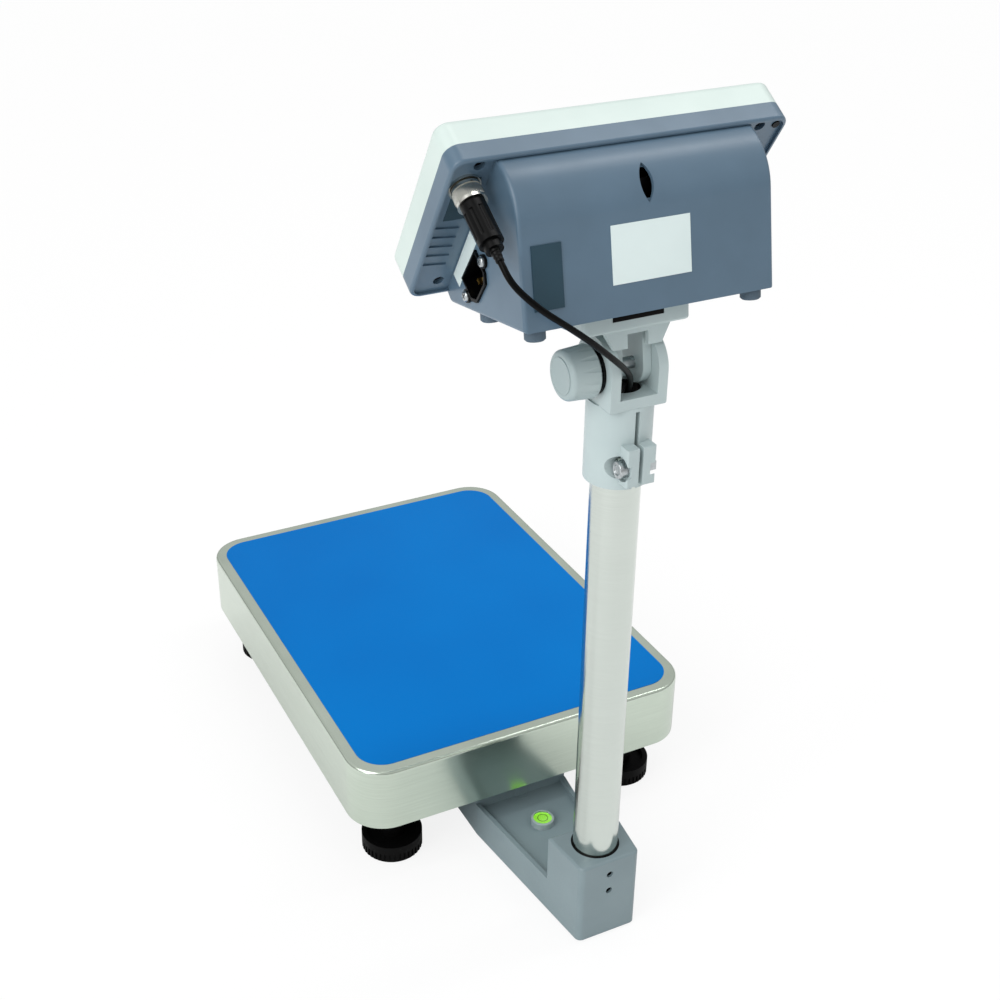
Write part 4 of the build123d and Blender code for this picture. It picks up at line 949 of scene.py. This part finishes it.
@dataclass
class SignalCable:
    """Free cable from the plug, behind the head and into the column."""

    radius: float = 0.002
    boot_r: float = 0.0034
    boot_end: float = 0.72
    boot_length: float = 0.008
    boot_ribs: int = 3
    boot_groove: float = 0.88
    bend_from: Point = (0.085, 0.272, 0.540)
    bend_to: Point = (0.004, 0.243, 0.462)
    route: Sequence[Point] = (
        (0.1015, 0.250937, 0.566793), (0.1015, 0.258493, 0.561904), (0.0990, 0.265735, 0.5525),
        (0.0920, 0.270735, 0.5440), (0.0815, 0.273235, 0.5345), (0.0680, 0.273235, 0.5245),
        (0.0525, 0.271235, 0.5125), (0.0370, 0.267235, 0.4995), (0.0235, 0.261735, 0.4875),
        (0.0120, 0.254735, 0.4770), (0.0040, 0.247235, 0.4670), (0.0010, 0.240235, 0.4565),
        (0.0002, 0.233735, 0.4460), (0.0, 0.229535, 0.4340), (0.0, 0.229535, 0.4200),
    )

    def build_curve(self) -> Piece:
        """The route as one open NURBS spline.

        Returns:
            The curve object.
        """
        curve = bpy.data.curves.new("signal_cable_route", "CURVE")
        curve.dimensions = "3D"
        curve.resolution_u = 10
        spline = curve.splines.new("NURBS")
        spline.points.add(len(self.route) - 1)
        for control, place in zip(spline.points, self.route):
            control.co = (*place, 1.0)
        spline.order_u = 3
        spline.use_endpoint_u = True
        return new_object("signal_cable_route", curve)

    def build_boot(self) -> None:
        """Tapered, ribbed boot where the cable leaves the plug."""
        deselect()
        bpy.ops.mesh.primitive_cylinder_add(vertices=32, radius=self.boot_r, depth=self.boot_length,
                                            location=(0, 0, self.boot_length / 2))
        boot = settle(bpy.context.active_object, "cable_boot")
        rows = 2 * self.boot_ribs + 1
        pick_standing(boot, self.boot_length)
        bpy.ops.mesh.subdivide(number_cuts=rows - 1)
        leave_edit()
        for vertex in boot.data.vertices:
            row = round(vertex.co.z / self.boot_length * rows)
            share = 1 - (1 - self.boot_end) * vertex.co.z / self.boot_length
            share *= self.boot_groove if row % 2 and 0 < row < rows else 1.0
            vertex.co.x *= share
            vertex.co.y *= share
        apply_modifier(boot, "BEVEL", width=self.boot_length / 40, segments=2, limit_method="ANGLE")
        start, ahead = Vector(self.route[0]), Vector(self.route[1]) - Vector(self.route[0])
        turn = ahead.to_track_quat("Z", "Y").to_matrix().to_4x4()
        boot.matrix_world = Matrix.Translation(start) @ turn
        settle(boot, "cable_boot")
        smooth(boot, 30.0)
        fit_piece(boot, "black", "indicator")

    def build(self) -> None:
        """Make the jacket as a tube that bends between the head and the fork."""
        self.build_boot()
        route = self.build_curve()
        bpy.context.view_layer.update()
        line = bpy.data.meshes.new_from_object(route)
        route.data.bevel_depth = self.radius
        route.data.bevel_resolution = 5
        route.data.use_fill_caps = True
        activate(route)
        bpy.ops.object.convert(target="MESH")
        cable = settle(bpy.context.active_object, "signal_cable_jacket")
        smooth(cable, 60.0)
        dress(cable, "jacket")
        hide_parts("signal_cable")
        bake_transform(cable)


@dataclass
class Platform:
    """Pan, its protective film, and the frames and cell under it."""

    film_size: tuple[float, float] = (0.2804, 0.3704)
    film_corner: float = 0.023
    corner_steps: int = 12
    film_thickness: float = 0.0002
    film_centre_y: float = -0.066765
    film_z: float = 0.1092
    edge_rings: Sequence[float] = (0.0016, 0.02)
    edge_band: float = 0.001
    pucker: float = 0.00012
    wave_x: tuple[float, float] = (61.0, 1.0)
    wave_y: tuple[float, float] = (47.0, 2.0)

    def build_film(self) -> None:
        """The film as a rounded sheet with a slightly wavy edge."""
        deselect()
        bpy.ops.mesh.primitive_plane_add(size=1.0, location=(0, 0, 0))
        film = bpy.context.active_object
        film.scale = (*self.film_size, 1.0)
        bpy.ops.object.transform_apply(location=False, rotation=False, scale=True)
        pick(film, Select.VERTICES)
        bpy.ops.mesh.bevel(offset=self.film_corner, segments=self.corner_steps, affect="VERTICES")
        leave_edit()
        pick(film, Select.FACES)
        for ring in self.edge_rings:
            bpy.ops.mesh.inset(thickness=ring)
        leave_edit()
        for vertex in film.data.vertices:
            x, y, _ = vertex.co
            if min(self.film_size[0] / 2 - abs(x), self.film_size[1] / 2 - abs(y)) < self.edge_band:
                wave = math.sin(self.wave_x[0] * x + self.wave_x[1])
                wave *= math.sin(self.wave_y[0] * y + self.wave_y[1])
                vertex.co.z += self.pucker * (1.0 + wave) / 2
        apply_modifier(film, "SOLIDIFY", thickness=self.film_thickness, offset=1.0)
        film.location = (0.0, self.film_centre_y, self.film_z)
        settle(film, "pan_film_sheet")
        smooth(film, 40.0)
        fit_piece(film, "film", "pan", "pan_film")

    def build(self) -> None:
        """Dress the pan and what it lies on."""
        dress_nodes({
            "pan": ["platform_pan"], "rubber": ["pan_pads"], "frame": ["top_frame", "base_frame"],
            "aluminium": ["load_cell", "load_cell_spacers"],
            "zinc": ["load_cell_bolts", "overload_stops", "stud_jam_nuts"]})
        self.build_film()


@dataclass
class LevellingFeet:
    """Four moulded feet on threaded studs."""

    names: Sequence[str] = ("rear_left", "rear_right", "front_left", "front_right")
    pitch: float = 0.0015
    depth: float = 0.0008
    tip_share: float = 0.9
    steps: int = 3
    sides: int = 24

    def build_thread(self, radius: float, length: float) -> Piece:
        """One stud with a helical groove, its middle on the origin.

        Args:
            radius: Outside radius.
            length: Length along Z.

        Returns:
            The pattern that the four studs are copied from.
        """
        deselect()
        bpy.ops.mesh.primitive_cylinder_add(vertices=self.sides, radius=radius, depth=length)
        stud = bpy.context.active_object
        pick_standing(stud, length)
        bpy.ops.mesh.subdivide(number_cuts=round(length / self.pitch * self.steps) - 1)
        leave_edit()
        for vertex in stud.data.vertices:
            x, y, z = vertex.co
            share = self.tip_share
            if abs(z) <= length / 2 - self.pitch:
                turn = (z / self.pitch - math.atan2(y, x) / math.tau) % 1.0
                share = 1 - self.depth * abs(2 * turn - 1) / radius
            vertex.co.x, vertex.co.y = x * share, y * share
        smooth(stud, 25.0)
        return stud

    def build(self) -> None:
        """Dress the feet and cut the studs' threads."""
        dress_nodes({"rubber": ["foot_" + name for name in self.names]})
        low, high = node_box("stud_" + self.names[0])
        pattern = self.build_thread((high.x - low.x) / 2, high.z - low.z)
        for name in self.names:
            low, high = node_box("stud_" + name)
            stud = copy_of(pattern, Matrix.Translation((low + high) / 2), "stud_thread_" + name)
            fit_piece(stud, "zinc", "thread_" + name, "stud_" + name)
        bpy.data.objects.remove(pattern, do_unlink=True)


@dataclass
class ColumnBracket:
    """Cast arm with its round level, seal and grub screws."""

    level_y: float = 0.148235
    fluid_top: float = 0.031
    lens_top: float = 0.0323
    bubble_r: float = 0.0022
    bubble_depth: float = 0.0012
    bubble_off: Point = (0.0006, 0.0005, -0.00005)
    ring_sides: int = 64
    ring_r: float = 0.0043
    ring_width: float = 0.0004
    ring_proud: float = 0.00008
    block_edge: float = 0.0003
    blocks: Sequence[tuple[str, Point, Point]] = (
        ("cable_plug", (-0.0042, 0.1085, 0.0235), (0.0042, 0.1147, 0.0273)),
        ("cable_cover", (-0.006, 0.1083, 0.0268), (0.006, 0.1098, 0.052)),
        ("block_fillet", (-0.0212, 0.2091, 0.0235), (0.0212, 0.2111, 0.0287)),
    )

    def build_bubble(self) -> None:
        """Air bubble flattened against the underside of the lens."""
        deselect()
        bpy.ops.mesh.primitive_uv_sphere_add(segments=32, ring_count=16, radius=self.bubble_r)
        bubble = bpy.context.active_object
        pick(bubble, Select.VERTICES)
        bpy.ops.mesh.bisect(plane_co=(0, 0, 0), plane_no=(0, 0, 1), use_fill=True, clear_outer=True)
        leave_edit()
        points = bubble.data.vertices
        pick(bubble, Select.EDGES,
             lambda e: all(abs(points[v].co.z) < ON_PLANE for v in e.vertices))
        bpy.ops.mesh.bevel(offset=self.bubble_r / 6, segments=EDGE_STEPS)
        leave_edit()
        bubble.scale = (1.0, 1.0, self.bubble_depth / self.bubble_r)
        bubble.location = Vector((0.0, self.level_y, self.fluid_top)) + Vector(self.bubble_off)
        settle(bubble, "level_bubble")
        smooth(bubble, 50.0)
        fit_piece(bubble, "lens", "base")

    def build_ring(self) -> None:
        """Printed target ring on the lens."""
        ring = flat_outline("level_ring", self.ring_sides, self.ring_r, self.ring_width,
                            self.ring_proud,
                            Matrix.Translation((0.0, self.level_y, self.lens_top)))
        fit_piece(ring, "segment", "base")

    def build(self) -> None:
        """Dress the bracket, build the level's bubble and ring and close the cable's way."""
        dress_nodes({
            "bracket": ["column_bracket"], "zinc": ["bracket_bolts"],
            "oxide": ["column_set_screws"], "rubber": ["column_seal"], "cup": ["level_cup"],
            "liquid": ["level_fluid"], "lens": ["level_lens"], "tube": ["column_tube"],
            "jacket": ["column_cable"]})
        self.build_bubble()
        self.build_ring()
        for name, low, high in self.blocks:
            block = rounded_block(name, low, high, self.block_edge)
            fit_piece(block, "bracket", "base")


@dataclass
class TiltFork:
    """Clamp sleeve with the tilting joint and its knob."""

    knob_front: float = 0.0441
    cap: Disc = Disc(0.0122, 0.0005, 0.00016667, 0.00101667, 0.00016667)
    screw_at: Point = (0.0082, 0.251335, 0.407)
    screw_head: Disc = Disc(0.00595, 0.0054, 0.00108, 0.00270455, 0.00108)
    # Black rubber disc in the fork's mouth: painted shade standing in for the dark hollow of the
    # column's mouth
    mouth_low: float = 0.447
    mouth: Disc = Disc(0.0131, 0.0065, 0.0006, 0.00262, 0.0012)
    pad_low: Point = (-0.0182, 0.015, 0.0338)
    pad_high: Point = (0.0182, 0.0217, 0.0382)
    pad_edge: float = 0.0005

    def build_fittings(self) -> None:
        """Knob cap, round screw head, a black rubber disc in the fork's mouth that paints the shade
        of its hollow, and the pad under the housing.
        """
        sideways = Matrix.Rotation(math.radians(90), 4, "Y")
        cap_at = Matrix.Translation((self.knob_front, PIVOT[1], PIVOT[2])) @ sideways
        fit_piece(self.cap.build("knob_cap", cap_at), "knob", "knob")
        screw_at = Matrix.Translation(self.screw_at) @ sideways
        screw = self.screw_head.build("clamp_screw_head", screw_at)
        fit_piece(screw, "zinc", "fork")
        # Black disc of painted shade for the fork's hollow mouth
        mouth_at = Matrix.Translation((0.0, PIVOT[1], self.mouth_low))
        mouth = self.mouth.build("fork_mouth_painted_shade", mouth_at)
        fit_piece(mouth, "rubber", "fork")
        head_at = Matrix.Translation(PIVOT) @ Matrix.Rotation(math.radians(HEAD_TILT), 4, "X")
        pad = rounded_block("bracket_pad", self.pad_low, self.pad_high, self.pad_edge, head_at)
        fit_piece(pad, "rubber", "indicator")

    def build(self) -> None:
        """Dress the fork, its bolts, washers and knob."""
        dress_nodes({
            "fork": ["tilt_fork", "indicator_bracket"],
            "zinc": ["clamp_bolt", "pivot_bolt", "bracket_screws"], "black": ["friction_washer"],
            "knob": ["tilt_knob"], "brass": ["knob_insert"]})
        self.build_fittings()


@dataclass
class IndicatorHead:
    """Rear housing, bezel, display, keys and the parts inside."""

    digit_count: int = 4
    digit_pitch: float = 0.021
    digit_right: float = 0.058
    digit_half: tuple[float, float] = (0.0058, 0.0118)
    display_u: float = -0.042
    display_n: float = -0.004
    segment_half: float = 0.0051
    segment_width: float = 0.0034
    point_share: float = 0.28
    ink_height: float = 0.00005
    key_pitch: float = 0.036
    key_u: float = -0.096
    key_top: float = 0.0015
    mark_r: float = 0.0042
    marks: Sequence[tuple[int, float]] = (
        (48, 0.0011), (3, 0.0011), (4, 0.0011), (6, 0.0011), (48, 0.0024))

    def build_segment(self) -> Piece:
        """One display segment: a flat bar along Y with pointed ends.

        Returns:
            The pattern that the digits are copied from.
        """
        deselect()
        bpy.ops.mesh.primitive_circle_add(vertices=6, radius=self.segment_width / 2,
                                          fill_type="NGON")
        segment = bpy.context.active_object
        stretch = self.segment_half - self.segment_width / 2
        for side in (-1, 1):
            pick(segment, Select.VERTICES, lambda v: v.co.y * side > ON_PLANE)
            bpy.ops.transform.translate(value=(0, side * stretch, 0))
            leave_edit()
        apply_modifier(segment, "SOLIDIFY", thickness=self.ink_height, offset=1.0)
        return segment

    def build_digits(self) -> None:
        """Dark noughts on the display, with a decimal point after the first."""
        segment = self.build_segment()
        bars = []
        across, up = self.digit_half
        for k in range(self.digit_count):
            x = self.digit_right - k * self.digit_pitch
            digit_at = on_face(x, self.display_u, self.display_n)
            for letter, (side, rise, turn) in NOUGHT.items():
                spot = Matrix.Translation((side * across, rise * up, 0.0))
                place = digit_at @ spot @ Matrix.Rotation(math.radians(turn), 4, "Z")
                bars.append(copy_of(segment, place, "digit_%d_%s" % (k, letter)))
        spot = Matrix.Translation((self.digit_pitch / 2, -up, 0.0))
        point_at = digit_at @ spot @ Matrix.Scale(self.point_share, 4, (0, 1, 0))
        bars.append(copy_of(segment, point_at, "digit_point"))
        bpy.data.objects.remove(segment, do_unlink=True)
        deselect()
        for bar in bars:
            bar.select_set(True)
        bpy.context.view_layer.objects.active = bars[0]
        bpy.ops.object.join()
        digits = settle(bpy.context.active_object, "display_digits")
        fit_piece(digits, "segment", "indicator")

    def build_key_marks(self) -> None:
        """A printed outline on each key: round, three, four or six sides, and a heavy ring."""
        for k, (sides, line) in enumerate(self.marks):
            place = on_face((k - 2) * self.key_pitch, self.key_u, self.key_top)
            mark = flat_outline("key_mark_%d" % (k + 1), sides, self.mark_r, line,
                                self.ink_height, place)
            fit_piece(mark, "ink", "key_%d" % (k + 1))

    def build(self) -> None:
        """Dress the head's shells and fittings, and print its display and keys."""
        dress_nodes({
            "housing": ["rear_housing"], "bezel": ["front_bezel"], "overlay": ["front_overlay"],
            "window": ["display_window"], "lcd": ["lcd_module"], "board": ["main_board"],
            "black": ["battery", "mains_inlet", "plug_shell"], "core": ["transformer"],
            "oxide": ["housing_screws"], "zinc": ["inlet_screws"], "grey_rubber": ["housing_feet"],
            "brass": ["inlet_pins"], "nickel": ["signal_socket", "coupling_nut"],
            "label": ["blank_labels"], "cover": ["cover_plates"],
            "key": ["key_%d" % (k + 1) for k in range(len(self.marks))]})
        self.build_digits()
        self.build_key_marks()


def main() -> None:
    """Build the studio, then each sub-assembly in order."""
    logging.basicConfig(level=logging.INFO, format="%(message)s")
    Studio().build()
    SignalCable().build()
    Platform().build()
    LevellingFeet().build()
    ColumnBracket().build()
    TiltFork().build()
    IndicatorHead().build()


if __name__ == "__main__":
    main()
